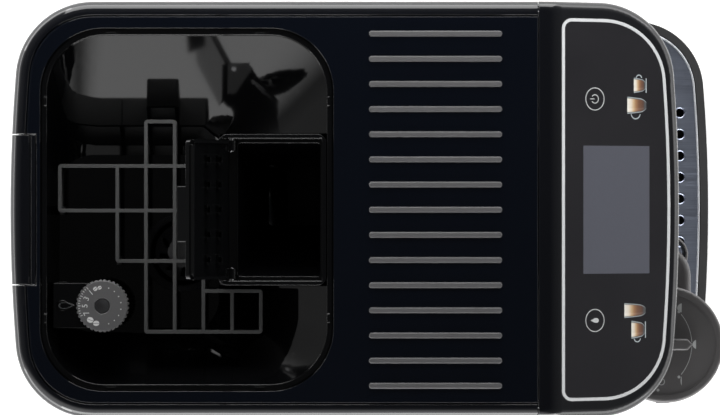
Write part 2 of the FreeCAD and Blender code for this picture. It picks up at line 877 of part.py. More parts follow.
def finger_guard():
    top = deck_height - guard_drop
    low = top - guard_height
    t = guard_wall / 2
    solid = []
    holes = []
    for cell in guard_cells:
        # Each cell names its back and front columns, then its right and left rows
        back, front, right, left = (int(c) for c in cell)
        y1, y0 = guard_column(back), guard_column(front)
        x1, x0 = guard_rows[right], guard_rows[left]
        solid.append(rounded_box(x0 - t, x1 + t, y0 - t, y1 + t, low, top, guard_wall))
        holes.append(box(x0 + t, x1 - t, y0 + t, y1 - t, low - lap, top + lap))
    guard = fuse(solid)
    for hole in holes:
        guard = guard.cut(hole)
    legs = []
    w = guard_leg_width / 2
    for column, row in guard_legs:
        y = guard_column(int(column))
        x = guard_rows[int(row)]
        legs.append(box(x - w, x + w, y - t, y + t, bowl_floor_z + fit_gap, low + lap))
    return fuse([guard] + legs)


def chute_section(grow, z):
    # Middle section of the chute, where it leaves the hopper
    half = chute_width / 2 - chute_mid_inset + grow
    return rect_wire(-half, half, chute_front_y + chute_wall - grow, chute_rear_y - chute_mid_inset + grow,
                     chute_inner_corner + grow / 2, z)


def chute_mouth(grow, z):
    # Lower mouth of the chute over the brew chamber
    half = chute_outlet_width / 2 + grow
    y1 = brew_y + grow
    y0 = brew_y - chute_outlet_length - grow
    return rect_wire(brew_x - half, brew_x + half, y0, y1, chute_inner_corner + grow / 2, z)


def service_chute():
    half = chute_width / 2
    front = hopper_front_y + flange_width + 2 * fit_gap
    outer = rounded_box(-chute_half, chute_half, front, chute_back_y, hopper_bottom_z, chute_top,
                        chute_corner)
    rim = rect_wire(-half, half, chute_front_y, chute_rear_y, chute_inner_corner, chute_top + lap)
    middle = chute_section(0, bowl_floor_z)
    upper = Part.makeLoft([rim, middle], True, True)
    lower = Part.makeLoft([middle, chute_mouth(0, chute_outlet_height - lap)], True, True)
    sides = [chute_section(chute_wall, bowl_floor_z), chute_mouth(chute_wall, chute_outlet_height)]
    skin = Part.makeLoft(sides, True, True)
    funnel = skin.fuse(outer).cut(upper).cut(lower)
    seat = half + 2 * flap_side_gap
    funnel = funnel.cut(box(-seat, seat, chute_front_y - flap_side_gap, chute_rear_y + lap,
                            hinge_z - flap_seat_gap, deck_height))
    pocket = hinge_y + knuckle_radius + hinge_room
    funnel = funnel.cut(box(-seat, seat, chute_rear_y - lap, pocket,
                            hinge_z - knuckle_radius - hinge_room, deck_height))
    pins = rod(V(-chute_half, hinge_y, hinge_z), V(chute_half, hinge_y, hinge_z), hinge_pin_radius)
    return funnel.cut(pins)


def flap_pins():
    inner = chute_width / 2 - knuckle_length
    pins = []
    for side in (-1, 1):
        pins.append(rod(V(side * inner, hinge_y, hinge_z), V(side * chute_half, hinge_y, hinge_z),
                        hinge_pin_radius))
    return Part.makeCompound(pins)


def flap_clips(low):
    # Two rows of small grips on the underside for the brush
    clips = []
    w = clip_width / 2
    h = clip_length / 2
    for row in clip_rows:
        for k in range(clip_count):
            x = (k - (clip_count - 1) / 2) * clip_pitch
            y = hinge_y - row
            clip = box(x - w, x + w, y - h, y + h, low - clip_height, low + lap / 2)
            slot = box(x - w / 2, x + w / 2, y - 2 * h, y + h / 2, low - clip_height - lap, low)
            clips.append(clip.cut(slot))
    return clips


def flap_shut():
    half = chute_width / 2 + flap_side_gap / 2
    free = chute_front_y
    low = hinge_z
    high = low + flap_thickness
    start = hinge_y - knuckle_radius - knuckle_clear
    rib = flap_rib_width
    plate = rounded_box(-half, half, free, start, low, high, flap_corner)
    lip = box(-half + flap_corner, half - flap_corner, free + flap_side_gap, free + flap_lip_width,
              high - flap_lip_height, high)
    grip = flap_tab_width / 2
    tab = rounded_box(flap_tab_offset - grip, flap_tab_offset + grip, free, free + flap_thickness,
                      low, high + flap_tab_reach, lap)
    parts = [plate, lip, tab]
    for side in (-1, 1):
        outer = side * half
        inner = side * (half - knuckle_length)
        parts.append(rod(V(inner, hinge_y, hinge_z), V(outer, hinge_y, hinge_z), knuckle_radius))
        x0, x1 = sorted((inner, outer))
        parts.append(box(x0, x1, start - rib, hinge_y, low, high))
        x0, x1 = sorted((outer, outer - side * rib))
        parts.append(box(x0, x1, free + 2 * rib, start - lap, low - lap, high))
    for k in (-1, 0, 1):
        x = k * hinge_tab_pitch
        w = hinge_tab_width / 2
        parts.append(box(x - w, x + w, start - rib, hinge_y - lap, low + hinge_tab_step, high))
    flap = fuse(parts + flap_clips(low))
    bore = rod(V(-half - lap, hinge_y, hinge_z), V(half + lap, hinge_y, hinge_z), hinge_pin_radius + pin_gap)
    return flap.cut(bore)


def chute_flap():
    flap = flap_shut()
    flap.rotate(V(0, hinge_y, hinge_z), V(-1, 0, 0), flap_open)
    return flap


# Grind adjustment and grinder

def gear_teeth(teeth, count, width, z, turn):
    # Involute spur gear; with fewer teeth than the full circle it is a toothed sector centred on turn
    pitch = gear_module * teeth / 2
    pressure = math.radians(pressure_angle)
    base_r = pitch * math.cos(pressure)
    tip = pitch + gear_module
    root = pitch - root_depth * gear_module
    half_tooth = math.pi / (2 * teeth) - gear_backlash / (2 * pitch)
    at_pitch = math.tan(pressure) - pressure

    def flank(r):
        roll = math.acos(min(1.0, base_r / r))
        return half_tooth + at_pitch - (math.tan(roll) - roll)

    start = max(base_r, root)
    steps = [start + (tip - start) * k / 4 for k in range(5)]
    outline = []
    for k in range(count):
        centre = math.radians(turn) + 2 * math.pi * (k - (count - 1) / 2) / teeth
        rising = [(root, -flank(start))] + [(r, -flank(r)) for r in steps]
        falling = [(r, flank(r)) for r in reversed(steps)] + [(root, flank(start))]
        for r, a in rising + falling:
            outline.append(V(r * math.cos(centre + a), r * math.sin(centre + a), z))
    if count < teeth:
        outline.append(V(0, 0, z))
    outline.append(outline[0])
    return prism(Part.makePolygon(outline), z, z + width)


def grind_knob():
    top = knob_bottom_z + knob_height
    knob = upright(knob_x, knob_y, knob_radius, knob_bottom_z, top)
    knob = knob.makeChamfer(knob_chamfer, top_edges(knob, top))
    for k in range(knob_flutes):
        a = 2 * math.pi * k / knob_flutes
        knob = knob.cut(upright(knob_x + knob_radius * math.cos(a), knob_y + knob_radius * math.sin(a),
                                knob_flute_radius, knob_bottom_z - lap, top + lap))
    dimple = Part.makeCone(knob_dimple_radius, knob_dimple_radius - knob_dimple_taper, knob_dimple_depth,
                           V(knob_x, knob_y, top), V(0, 0, -1))
    socket = upright(knob_x, knob_y, shaft_radius, knob_bottom_z - lap, knob_bottom_z + knob_height / 2)
    return knob.cut(dimple).cut(socket)


def knob_shaft():
    gear_low = gear_z - (pinion_width - gear_width) / 2
    shaft = upright(knob_x, knob_y, shaft_radius, gear_low - fit_gap, knob_bottom_z + knob_height / 2)
    half_tooth = 180 / pinion_teeth if pinion_teeth % 2 == 0 else 0
    gear = gear_teeth(pinion_teeth, pinion_teeth, pinion_width, gear_low, mesh_angle + 180 + half_tooth)
    gear.translate(V(knob_x, knob_y, 0))
    return fuse([shaft, gear])


def upper_burr_ring():
    ring = upright(0, 0, ring_radius, ring_bottom_z, ring_top_z)
    gap_turn = 180 / ring_teeth if ring_sector_teeth % 2 else 0
    sector = gear_teeth(ring_teeth, ring_sector_teeth, gear_width, gear_z, mesh_angle + gap_turn)
    ring = fuse([ring, sector])
    bore = Part.makeCone(ring_bore_low, ring_bore_high, ring_height, V(0, 0, ring_bottom_z))
    ring = ring.cut(bore)
    ring.translate(V(grinder_x, grinder_y, 0))
    return ring


def lower_burr():
    low = housing_bottom_z + wall + burr_clear
    mid = ring_bottom_z
    top = low + burr_height
    lower = Part.makeCone(burr_low_radius, burr_mid_radius, mid - low, V(0, 0, low))
    upper = Part.makeCone(burr_mid_radius, burr_top_radius, top - mid, V(0, 0, mid))
    shaft = upright(0, 0, shaft_radius, motor_bottom_z + motor_height * motor_shaft_share, low + lap)
    burr = fuse([lower, upper, shaft])
    for k in range(burr_flutes):
        a = 2 * math.pi * k / burr_flutes
        b = a + burr_flute_twist
        start = V((burr_low_radius + lap) * math.cos(a), (burr_low_radius + lap) * math.sin(a), low - lap)
        end = V((burr_top_radius + lap) * math.cos(b), (burr_top_radius + lap) * math.sin(b), top + lap)
        burr = burr.cut(rod(start, end, burr_flute_radius))
    burr.translate(V(grinder_x, grinder_y, 0))
    return burr


def spout_ends():
    toward = V(brew_x - grinder_x, brew_y - grinder_y, 0).normalize()
    axis = V(grinder_x, grinder_y, 0)
    start_z = housing_bottom_z + housing_height / 2
    end_z = chamber_top_height + spout_radius + wall
    start = axis + V(0, 0, start_z) + toward * (housing_bore - wall)
    end = axis + V(0, 0, end_z) + toward * (housing_radius + spout_reach)
    return start, end


def grinder_housing():
    shell = upright(grinder_x, grinder_y, housing_radius, housing_bottom_z, housing_top_z)
    low = housing_bottom_z
    shell = shell.cut(upright(grinder_x, grinder_y, housing_bore, low + wall, housing_top_z + lap))
    shell = shell.cut(upright(grinder_x, grinder_y, shaft_radius + lap, low - lap, housing_top_z))
    start, end = spout_ends()
    return shell.cut(rod(start, end, spout_radius + fit_gap / 2))


def ground_spout():
    start, end = spout_ends()
    shell = rod(start, end, spout_radius)
    shell = shell.cut(rod(start - (end - start), end + (end - start), spout_radius - spout_wall))
    return shell.cut(upright(grinder_x, grinder_y, housing_bore, 0, deck_height))


def grinder_motor():
    can = upright(grinder_x, grinder_y, motor_radius, motor_bottom_z, housing_bottom_z)
    can = can.makeFillet(motor_round, top_edges(can, motor_bottom_z))
    shaft_end = motor_bottom_z + motor_height * motor_shaft_share
    return can.cut(upright(grinder_x, grinder_y, shaft_radius + lap, shaft_end - lap, deck_height))


def grinder_stand():
    plate = upright(grinder_x, grinder_y, motor_radius + wall, motor_bottom_z - stand_plate, motor_bottom_z)
    legs = []
    h = stand_leg / 2
    for a in (35, 145, 270):
        x = grinder_x + (motor_radius - h) * math.cos(math.radians(a))
        y = grinder_y + (motor_radius - h) * math.sin(math.radians(a))
        legs.append(box(x - h, x + h, y - h, y + h, base_top, motor_bottom_z - stand_plate / 2))
    return fuse([plate] + legs)


# Brew unit

def brew_frame():
    half = chamber_radius + chamber_flange
    p = frame_post
    x0 = brew_x - half
    x1 = screw_x + press_motor_radius + p + wall
    y0 = brew_y - half + 2 * p
    y1 = brew_y + half - wall
    shelf = box(x0, x1, brew_y - half, y1 + lap, shelf_z - frame_plate, shelf_z)
    posts = []
    for x in (x0 + lap, x1 - lap - p):
        for y in (y0, y1 - p):
            posts.append(box(x, x + p, y, y + p, base_top, shelf_z - lap))
    motor_plate = box(brew_x + half - p, x1 - lap, y0, y1, motor_plate_z - frame_plate, motor_plate_z)
    frame = fuse([shelf, motor_plate] + posts)
    frame = frame.cut(upright(brew_x, brew_y, chamber_radius + fit_gap, 0, deck_height))
    return frame.cut(upright(screw_x, brew_y, screw_radius + pin_gap, 0, deck_height))


def inlet_z():
    return chamber_top_height - chamber_inlet_drop


def brew_chamber():
    z = inlet_z()
    chamber = upright(brew_x, brew_y, chamber_radius, chamber_bottom_z, chamber_top_height)
    flange = upright(brew_x, brew_y, chamber_radius + chamber_flange, shelf_z,
                     shelf_z + chamber_flange_height)
    flange = flange.cut(upright(screw_x, brew_y, screw_radius + wall, 0, deck_height))
    inlet = rod(V(brew_x + chamber_bore, brew_y, z), V(brew_x + chamber_radius + nipple_length, brew_y, z),
                nipple_radius)
    shell = fuse([chamber, flange, inlet])
    shell = shell.cut(upright(brew_x, brew_y, chamber_bore, 0, deck_height))
    way = rod(V(brew_x, brew_y, z), V(brew_x + 3 * chamber_radius, brew_y, z), nipple_radius / 2)
    return shell.cut(way)


def brew_piston():
    disc_low = chamber_bottom_z + lap
    disc = upright(brew_x, brew_y, chamber_bore - piston_gap, disc_low, disc_low + piston_height)
    stem = upright(brew_x, brew_y, piston_rod, arm_low_z, disc_low + lap)
    half = piston_rod + piston_boss
    arm = rounded_box(brew_x - half, screw_x + half, brew_y - half, brew_y + half, arm_low_z,
                      arm_low_z + piston_arm, half / 2)
    piston = fuse([disc, stem, arm])
    return piston.cut(upright(screw_x, brew_y, screw_radius + pin_gap, 0, deck_height))


def press_screw():
    return upright(screw_x, brew_y, screw_radius, motor_plate_z - frame_plate, shelf_z + screw_above_shelf)


def press_motor():
    top = motor_plate_z - frame_plate
    can = upright(screw_x, brew_y, press_motor_radius, top - press_motor_height, top)
    return can.makeFillet(press_motor_round, top_edges(can, top - press_motor_height))


# Water side

def pump():
    y0 = pump_front_y
    y1 = pump_rear_y
    core = rod(V(pump_x, y0, pump_height), V(pump_x, y1, pump_height), pump_radius)
    h = pump_coil / 2
    ym = (y0 + y1) / 2
    coil = box(pump_x - h, pump_x + h, ym - pump_coil_length / 2, ym + pump_coil_length / 2,
               pump_height - h, pump_height + h)
    long_edges = [e for e in coil.Edges if e.BoundBox.YLength > pump_coil_length / 2]
    coil = coil.makeChamfer(coil_chamfer, long_edges)
    nipples = rod(V(pump_x, y0 - nipple_length, pump_height), V(pump_x, y1 + nipple_length, pump_height),
                  nipple_radius)
    return fuse([core, coil, nipples])


def pump_bracket():
    w = pump_radius + bracket_margin
    y0 = pump_front_y + bracket_sheet
    y1 = pump_rear_y - bracket_sheet
    h = pump_coil / 2 + lap
    ym = (pump_front_y + pump_rear_y) / 2
    reach = pump_coil_length / 2 + lap
    floor = box(pump_x - w, pump_x + w, y0, y1, base_top, base_top + bracket_sheet)
    floor = floor.cut(box(pump_x - h, pump_x + h, ym - reach, ym + reach, pump_height - h, pump_height))
    plates = [floor]
    for y in (y0, y1 - bracket_sheet):
        plates.append(box(pump_x - w, pump_x + w, y, y + bracket_sheet, base_top, pump_height + w))
    hole = rod(V(pump_x, y0 - lap, pump_height), V(pump_x, y1 + lap, pump_height), pump_radius + fit_gap / 2)
    return fuse(plates).cut(hole)


def meter_hose_z():
    return base_top + meter_height * 0.6


def flow_meter():
    can = upright(meter_x, meter_y, meter_radius, base_top, base_top + meter_height)
    z = meter_hose_z()
    reach = meter_radius + meter_nipple
    nipples = rod(V(meter_x - reach, meter_y, z), V(meter_x + reach, meter_y, z), nipple_radius)
    return fuse([can, nipples])


def heater_inlet():
    return V(heater_x - heater_width / 2 - nipple_length, heater_front_y + heater_length / 3,
             base_top + heater_stand + heater_inlet_rise)


def heater_outlet():
    return V(heater_x, heater_front_y + heater_outlet_back, heater_top_z + nipple_length)


def thermoblock():
    z0 = base_top + heater_stand
    x0 = heater_x - heater_width / 2
    x1 = x0 + heater_width
    y1 = heater_front_y + heater_length
    leg = heater_leg
    block = rounded_box(x0, x1, heater_front_y, y1, z0, heater_top_z, leg)
    parts = [block]
    for k in range(heater_fins):
        y = heater_front_y + heater_length * (k + 0.7) / (heater_fins + 1)
        parts.append(box(x0 - heater_fin_reach, x1 + heater_fin_reach, y, y + heater_fin_width,
                         z0 + leg, heater_top_z - leg))
    inlet = heater_inlet()
    parts.append(rod(inlet, V(x0 + lap, inlet.y, inlet.z), nipple_radius))
    outlet = heater_outlet()
    parts.append(rod(V(outlet.x, outlet.y, heater_top_z - lap), outlet, nipple_radius))
    for x in (x0 + leg, x1 - 2 * leg):
        for y in (heater_front_y + leg, y1 - 2 * leg):
            parts.append(box(x, x + leg, y, y + leg, base_top, z0 + lap))
    return fuse(parts)


def valve_centre():
    return V(heater_x + valve_out, heater_front_y - nipple_length / 2 - valve_block / 2,
             heater_top_z - valve_block)


def steam_valve():
    c = valve_centre()
    h = valve_block / 2
    block = rounded_box(c.x - h, c.x + h, c.y - h, c.y + h, c.z - h, c.z + h, h / 3)
    coil = upright(c.x, c.y, h - lap, c.z + h, c.z + 3 * h)
    link = rod(V(c.x, c.y + h - lap, c.z), V(c.x, heater_front_y, c.z), nipple_radius)
    front = rod(V(c.x, c.y - h - nipple_length / 2, c.z), V(c.x, c.y - h + lap, c.z), nipple_radius)
    return fuse([block, coil, link, front])


def tank_hose():
    z = meter_hose_z()
    x1 = meter_x + meter_radius + meter_nipple
    y0 = tank_front_y - fit_gap - dock_length / 2
    x_mid = x1 + meter_radius
    points = [V(-dock_radius, y0, z), V(x_mid, y0, z), V(x_mid, meter_y, z), V(x1, meter_y, z)]
    return tube(points, hose_radius)


def feed_hose():
    z = meter_hose_z()
    x0 = meter_x - meter_radius - meter_nipple
    x_side = -half_width + wall + 3 * hose_radius
    y_front = pump_front_y - nipple_length
    y_turn = y_front - 5 * hose_radius
    points = [V(x0, meter_y, z), V(x_side, meter_y, z), V(x_side, y_turn, pump_height),
              V(pump_x, y_turn, pump_height), V(pump_x, y_front, pump_height)]
    return tube(points, hose_radius)


def heater_hose():
    end = heater_inlet()
    start = V(pump_x, pump_rear_y + nipple_length, pump_height)
    points = [start, V(pump_x, end.y, pump_height), end - V(heater_width, 0, 0), end]
    return tube(points, hose_radius)


def brew_hose():
    start = heater_outlet()
    end = V(brew_x + chamber_radius + nipple_length, brew_y, inlet_z())
    points = [start, V(start.x, start.y, end.z), V(start.x, end.y, end.z), end]
    return tube(points, hose_radius)


def steam_pipe():
    c = valve_centre()
    y0 = c.y - valve_block / 2 - nipple_length / 2
    y1 = seam_y + valve_block
    points = [V(c.x, y0, c.z), V(c.x, y0 - 3 * nipple_length, c.z), V(c.x, y1, steam_height),
              V(milk_x, y1, steam_height), V(milk_x, seam_y + 3 * wall, steam_height)]
    return tube(points, hose_radius)


def steam_nozzle():
    stem = rod(V(milk_x, seam_y + 3 * wall, steam_height), V(milk_x, seam_y - steam_length, steam_height),
               steam_radius)
    flange = rod(V(milk_x, seam_y, steam_height), V(milk_x, seam_y - wall, steam_height), steam_flange)
    nozzle = fuse([stem, flange])
    return nozzle.cut(rod(V(milk_x, overall_depth, steam_height), V(milk_x, -overall_depth, steam_height),
                          steam_radius / 3))


# Water tank

def tank_solid(inset, z0, z1):
    half = tank_width / 2 - inset
    zone = box(-half, half, tank_front_y + inset, overall_depth, z0, z1)
    return body_prism(inset, z0, z1).common(zone)


def water_tank():
    tank = tank_solid(0, tank_bottom_height, tank_top_height)
    tank = tank.cut(tank_solid(tank_wall, tank_bottom_height + tank_wall, tank_top_height + lap))
    hole = rod(V(0, tank_front_y - lap, outlet_height), V(0, tank_front_y + 2 * tank_wall, outlet_height),
               valve_radius + fit_gap / 2)
    return tank.cut(hole)


def tank_valve():
    inside = tank_front_y + tank_wall
    stem = rod(V(0, tank_front_y - dock_length / 3, outlet_height), V(0, inside + lap, outlet_height),
               valve_radius)
    flange = rod(V(0, inside, outlet_height), V(0, inside + tank_wall, outlet_height), valve_flange)
    way = rod(V(0, -overall_depth, outlet_height), V(0, overall_depth, outlet_height), valve_radius / 2)
    return fuse([stem, flange]).cut(way)


def tank_handle():
    half = handle_width / 2
    zone = box(-half, half, handle_front_y, overall_depth, tank_top_height, deck_height + lap)
    block = casing_solid().common(zone)
    top = deck_height - grip_below_top
    pocket = box(-grip_width / 2, grip_width / 2, rear_y - grip_depth, overall_depth, top - grip_height, top)
    upright_edges = [e for e in pocket.Edges if e.BoundBox.YLength > grip_depth / 2]
    pocket = pocket.makeFillet(grip_height / 3, upright_edges)
    groove_y = handle_front_y + wall
    groove = box(-half - lap, half + lap, groove_y, groove_y + handle_ridge,
                 deck_height - handle_ridge / 2, deck_height + lap)
    return block.cut(pocket).cut(groove)


def tank_dock():
    y1 = tank_front_y - fit_gap
    y0 = y1 - dock_length
    socket = rod(V(0, y0, outlet_height), V(0, y1, outlet_height), dock_radius)
    foot = box(-dock_radius, dock_radius, y0, y1, base_top, outlet_height)
    way = rod(V(0, y1 - dock_length / 2, outlet_height), V(0, y1 + lap, outlet_height),
              valve_radius + pin_gap)
    return fuse([socket, foot]).cut(way)


# Drip tray, grid and grounds container

def tray_front_prism(inset, z0, z1):
    front = body_prism(inset + lap, z0, z1, tray_front_y - lap)
    return front.cut(behind(seam_y - run_gap - inset))


def drip_tray():
    low = base_top + fit_gap
    floor = low + wall
    half = tongue_width / 2
    tongue_top = tray_rim_height - tongue_drop
    tray = tray_front_prism(0, low, tray_rim_height)
    tray = tray.fuse(box(-half, half, seam_y - 4 * wall, tongue_rear_y, low, tongue_top)).removeSplitter()
    seat = tray_rim_height - grid_thickness - fit_gap
    under = seat - tray_ledge
    tray = tray.cut(tray_front_prism(wall, floor, under))
    over = tray_rim_height + lap
    tray = tray.cut(tray_front_prism(tray_rim_width + tray_ledge, under - lap, over))
    tray = tray.cut(tray_front_prism(tray_rim_width, seat, over))
    channel = box(-half + wall, half - wall, seam_y - 6 * wall, tongue_rear_y - wall, floor, tongue_top + lap)
    bridge = box(-half, half, seam_y - 8 * wall, seam_y + wall, under, tray_rim_height)
    return tray.cut(channel.cut(bridge))


def drip_grid():
    top = tray_rim_height - fit_gap / 2
    grid = tray_front_prism(tray_rim_width + fit_gap, top - grid_thickness, top)
    y0 = tray_front_y + grid_front_row
    holes = []
    for row in range(grid_rows):
        count = grid_columns - row % 2
        for k in range(count):
            x = (k - (count - 1) / 2) * grid_pitch
            y = y0 + row * grid_pitch
            r = grid_hole_radius
            holes.append(upright(x, y, r, top - grid_thickness - lap, top + lap))
            holes.append(Part.makeCone(r, r + grid_hole_chamfer, grid_hole_chamfer,
                                       V(x, y, top - grid_hole_chamfer)))
    return grid.cut(holes)


def grounds_bin():
    half = bin_width / 2
    low = bin_bottom_height
    high = low + bin_height
    y0 = seam_y - run_gap
    y1 = bin_rear_y - run_gap
    m = bin_front_margin
    body = rounded_box(-half, half, y0, y1, low, high, bin_corner)
    hollow = rounded_box(-half + wall, half - wall, y0 + wall, y1 - wall, low + wall, high + lap,
                         bin_corner - lap)
    front = box(-half - m, half + m, y0 - bin_front_plate, y0, tray_rim_height + 2 * run_gap, high + m)
    ends = [e for e in front.Edges if e.BoundBox.YLength > bin_front_plate / 2]
    front = front.makeFillet(bin_corner - lap, ends)
    scoop = rod(V(0, y0 - bin_front_plate - lap, high + m), V(0, y0 + wall + lap, high + m), bin_scoop_radius)
    return fuse([body.cut(hollow), front]).cut(scoop)


# Outlets

def bridge_z():
    return outlet_low_z + bridge_rise


def coffee_outlet():
    half = outlet_width / 2
    y0 = seam_y - outlet_front
    y1 = seam_y - run_gap
    roof_z = outlet_top_z - outlet_height_z / 2
    hood = rounded_box(-half, half, y0, y1 - outlet_corner, outlet_low_z, outlet_top_z, outlet_corner)
    hood = hood.makeFillet(outlet_round, top_edges(hood, outlet_top_z))
    back = box(-half, half, y1 - 2 * outlet_corner, y1, outlet_low_z + outlet_skirt,
               outlet_top_z - outlet_round)
    inside = rounded_box(-half + wall, half - wall, y0 + wall, y1 - outlet_corner - wall, outlet_low_z - lap,
                         roof_z, outlet_corner - wall)
    hood = fuse([hood, back]).cut(inside)
    g = guide_width / 2 + fit_gap
    hood = hood.cut(box(-g, g, y1 - guide_depth - fit_gap, y1 + lap, 0, deck_height))
    reach = nozzle_radius + bridge_margin
    bridge = box(-half + lap, half - lap, nozzle_y - reach, nozzle_y + reach, bridge_z(), roof_z + lap)
    hood = fuse([hood, bridge])
    for side in (-1, 1):
        x = side * nozzle_spacing / 2
        hood = hood.cut(upright(x, nozzle_y, nozzle_radius, 0, bridge_z() + nozzle_length))
    return hood


def outlet_nozzles():
    neck_z = bridge_z() - nozzle_neck
    nozzles = []
    for side in (-1, 1):
        x = side * nozzle_spacing / 2
        stem = upright(x, nozzle_y, nozzle_radius, neck_z, bridge_z() + nozzle_length)
        tip = Part.makeCone(nozzle_radius - nozzle_wall / 2, nozzle_radius, nozzle_length,
                            V(x, nozzle_y, neck_z - nozzle_length))
        way = upright(x, nozzle_y, nozzle_radius - nozzle_wall, 0, deck_height)
        nozzles.append(fuse([stem, tip]).cut(way))
    return Part.makeCompound(nozzles)


def outlet_guide():
    g = guide_width / 2
    rail = box(-g, g, seam_y - guide_depth, seam_y, outlet_low_z - outlet_travel + nozzle_neck, outlet_top_z)
    long_edges = [e for e in rail.Edges
                  if e.BoundBox.ZLength > outlet_travel and e.BoundBox.YMax < seam_y - lap]
    return rail.makeChamfer(lap, long_edges)


def cap_disc(inset, z0, z1):
    return upright(milk_x, cap_y, cap_radius - inset, z0, z1)


def milk_cap():
    low = cap_height - cap_thickness
    cap = cap_disc(0, low, cap_height)
    cap = cap.makeFillet(cap_thickness / 3, top_edges(cap, cap_height))
    cap = cap.cut(cap_disc(cap_rim + cap_thickness / 3, cap_height - cap_dish, cap_height + lap))
    return cap.cut(upright(milk_x, selector_y, selector_pin + pin_gap, low - lap, cap_height + lap))


def milk_housing():
    top = cap_height - cap_thickness
    low = top - milk_body_height
    rear = seam_y - wall - 3 * fit_gap
    shell = Part.makeCone(milk_body_low, milk_body_top, milk_body_height, V(milk_x, cap_y, low))
    sleeve = rod(V(milk_x, cap_y, steam_height), V(milk_x, rear, steam_height), sleeve_radius)
    mouth_z = low - milk_mouth_length
    mouth = upright(milk_x, cap_y, milk_outlet_radius, mouth_z, low + lap)
    port_z = top - milk_port_drop
    port = rod(V(milk_x - milk_body_low, cap_y, port_z),
               V(milk_x - milk_body_top - milk_port_reach, cap_y, port_z), nipple_radius)
    body = fuse([shell, sleeve, mouth, port])
    socket_end = seam_y - steam_length - wall
    body = body.cut(rod(V(milk_x, rear + lap, steam_height), V(milk_x, socket_end, steam_height),
                        steam_radius + pin_gap))
    way = milk_outlet_radius - milk_outlet_wall
    body = body.cut(upright(milk_x, cap_y, way, mouth_z - lap, steam_height))
    pin_room = top - selector_pin_drop - wall
    return body.cut(upright(milk_x, selector_y, selector_pin + wall, pin_room, top + lap))


def arm_wire(z):
    # Plan of the spout arm: square at the milk body, two rounded corners at its free end
    x0 = milk_x + milk_body_top / 2
    y0 = seam_y - arm_front
    y1 = seam_y - arm_rear
    x1 = arm_end_x
    f = arm_front_corner
    r = arm_rear_corner
    bend = 1 - math.sqrt(0.5)
    edges = [line(V(x0, y0, z), V(x1 - f, y0, z)),
             arc(V(x1 - f, y0, z), V(x1 - f * bend, y0 + f * bend, z), V(x1, y0 + f, z)),
             line(V(x1, y0 + f, z), V(x1, y1 - r, z)) if y1 - r - y0 - f > lap / 10 else None,
             arc(V(x1, y1 - r, z), V(x1 - r * bend, y1 - r * bend, z), V(x1 - r, y1, z)),
             line(V(x1 - r, y1, z), V(x0, y1, z)),
             line(V(x0, y1, z), V(x0, y0, z))]
    return Part.Wire([e for e in edges if e])


def milk_spout():
    top = cap_height - cap_thickness - fit_gap
    z0 = top - arm_height
    collar_top = top - collar_drop
    collar_low = collar_top - collar_height
    arm = prism(arm_wire(z0), z0, top)
    arm = arm.makeFillet(arm_round, top_edges(arm, top))
    collar = upright(spout_x, spout_y, collar_radius, collar_low, collar_top)
    collar = collar.makeFillet(collar_round, top_edges(collar, collar_top))
    collar = collar.cut(upright(spout_x, spout_y, collar_bore, collar_low - lap, collar_top + lap))
    arm = fuse([arm, collar])
    arm = arm.cut(upright(spout_x, spout_y, milk_outlet_radius, z0 - lap, top - arm_round))
    gap = fit_gap / 2
    body = Part.makeCone(milk_body_low + gap, milk_body_top + gap, milk_body_height,
                         V(milk_x, cap_y, cap_height - cap_thickness - milk_body_height))
    return arm.cut(body)


def milk_selector():
    low = cap_height + fit_gap
    high = low + selector_height
    half = selector_width / 2
    hub = upright(milk_x, selector_y, selector_hub, low, high)
    tip = selector_y - selector_reach
    shoulder = tip + half
    outline = Part.makePolygon([V(milk_x - half, selector_y, low), V(milk_x - half, shoulder, low),
                                V(milk_x, tip, low), V(milk_x + half, shoulder, low),
                                V(milk_x + half, selector_y, low), V(milk_x - half, selector_y, low)])
    lever = fuse([hub, prism(outline, low, high)])
    lever = lever.makeFillet(selector_round, top_edges(lever, high))
    pin_low = cap_height - cap_thickness - selector_pin_drop
    pin = upright(milk_x, selector_y, selector_pin, pin_low, low + lap)
    return fuse([lever, pin])


# Electrics and fastenings

def power_board():
    x1 = -half_width + wall + board_standoff
    x2 = x1 + board_thickness
    y0 = board_front_y
    z0 = board_bottom_height
    board = box(x1, x2, y0, y0 + board_length, z0, z0 + board_height)
    parts = [board]
    for reach, ya, yb, za, zb in board_blocks:
        parts.append(box(x2, x2 + reach, y0 + ya, y0 + yb, z0 + za, z0 + zb))
    for k in range(capacitors):
        start = V(x2, y0 + board_length - (k + 1) * 2.4 * capacitor_radius, z0 + board_height * 0.7)
        parts.append(rod(start, start + V(capacitor_length, 0, 0), capacitor_radius))
    return fuse(parts)


def gland_face_y():
    # Rear face of the casing corner at the gland
    centre_y = end_corner(half_width, rear_y, corner_radius, end_crown_radius, 1)[0]
    dx = gland_x - (half_width - corner_radius)
    return centre_y + math.sqrt(corner_radius ** 2 - dx ** 2)


def cord_gland():
    y1 = gland_face_y() + gland_proud
    y0 = y1 - gland_length - gland_proud
    outer = rod(V(gland_x, y0, gland_height), V(gland_x, y1, gland_height), gland_radius)
    flange = rod(V(gland_x, y0, gland_height), V(gland_x, y0 + gland_flange_length, gland_height),
                 gland_flange)
    way = rod(V(gland_x, 0, gland_height), V(gland_x, overall_depth, gland_height), gland_bore)
    return fuse([outer, flange]).cut(way)


def base_screws():
    screws = []
    inset = screw_inset_x
    for x in (-half_width + inset, half_width - inset):
        for y in (tray_front_y + screw_inset_y, 0, rear_y - foot_inset_y):
            head = Part.makeCone(screw_head_radius - screw_head_taper, screw_head_radius, screw_head_height,
                                 V(x, y, foot_height - screw_head_height))
            screws.append(head)
    return Part.makeCompound(screws)


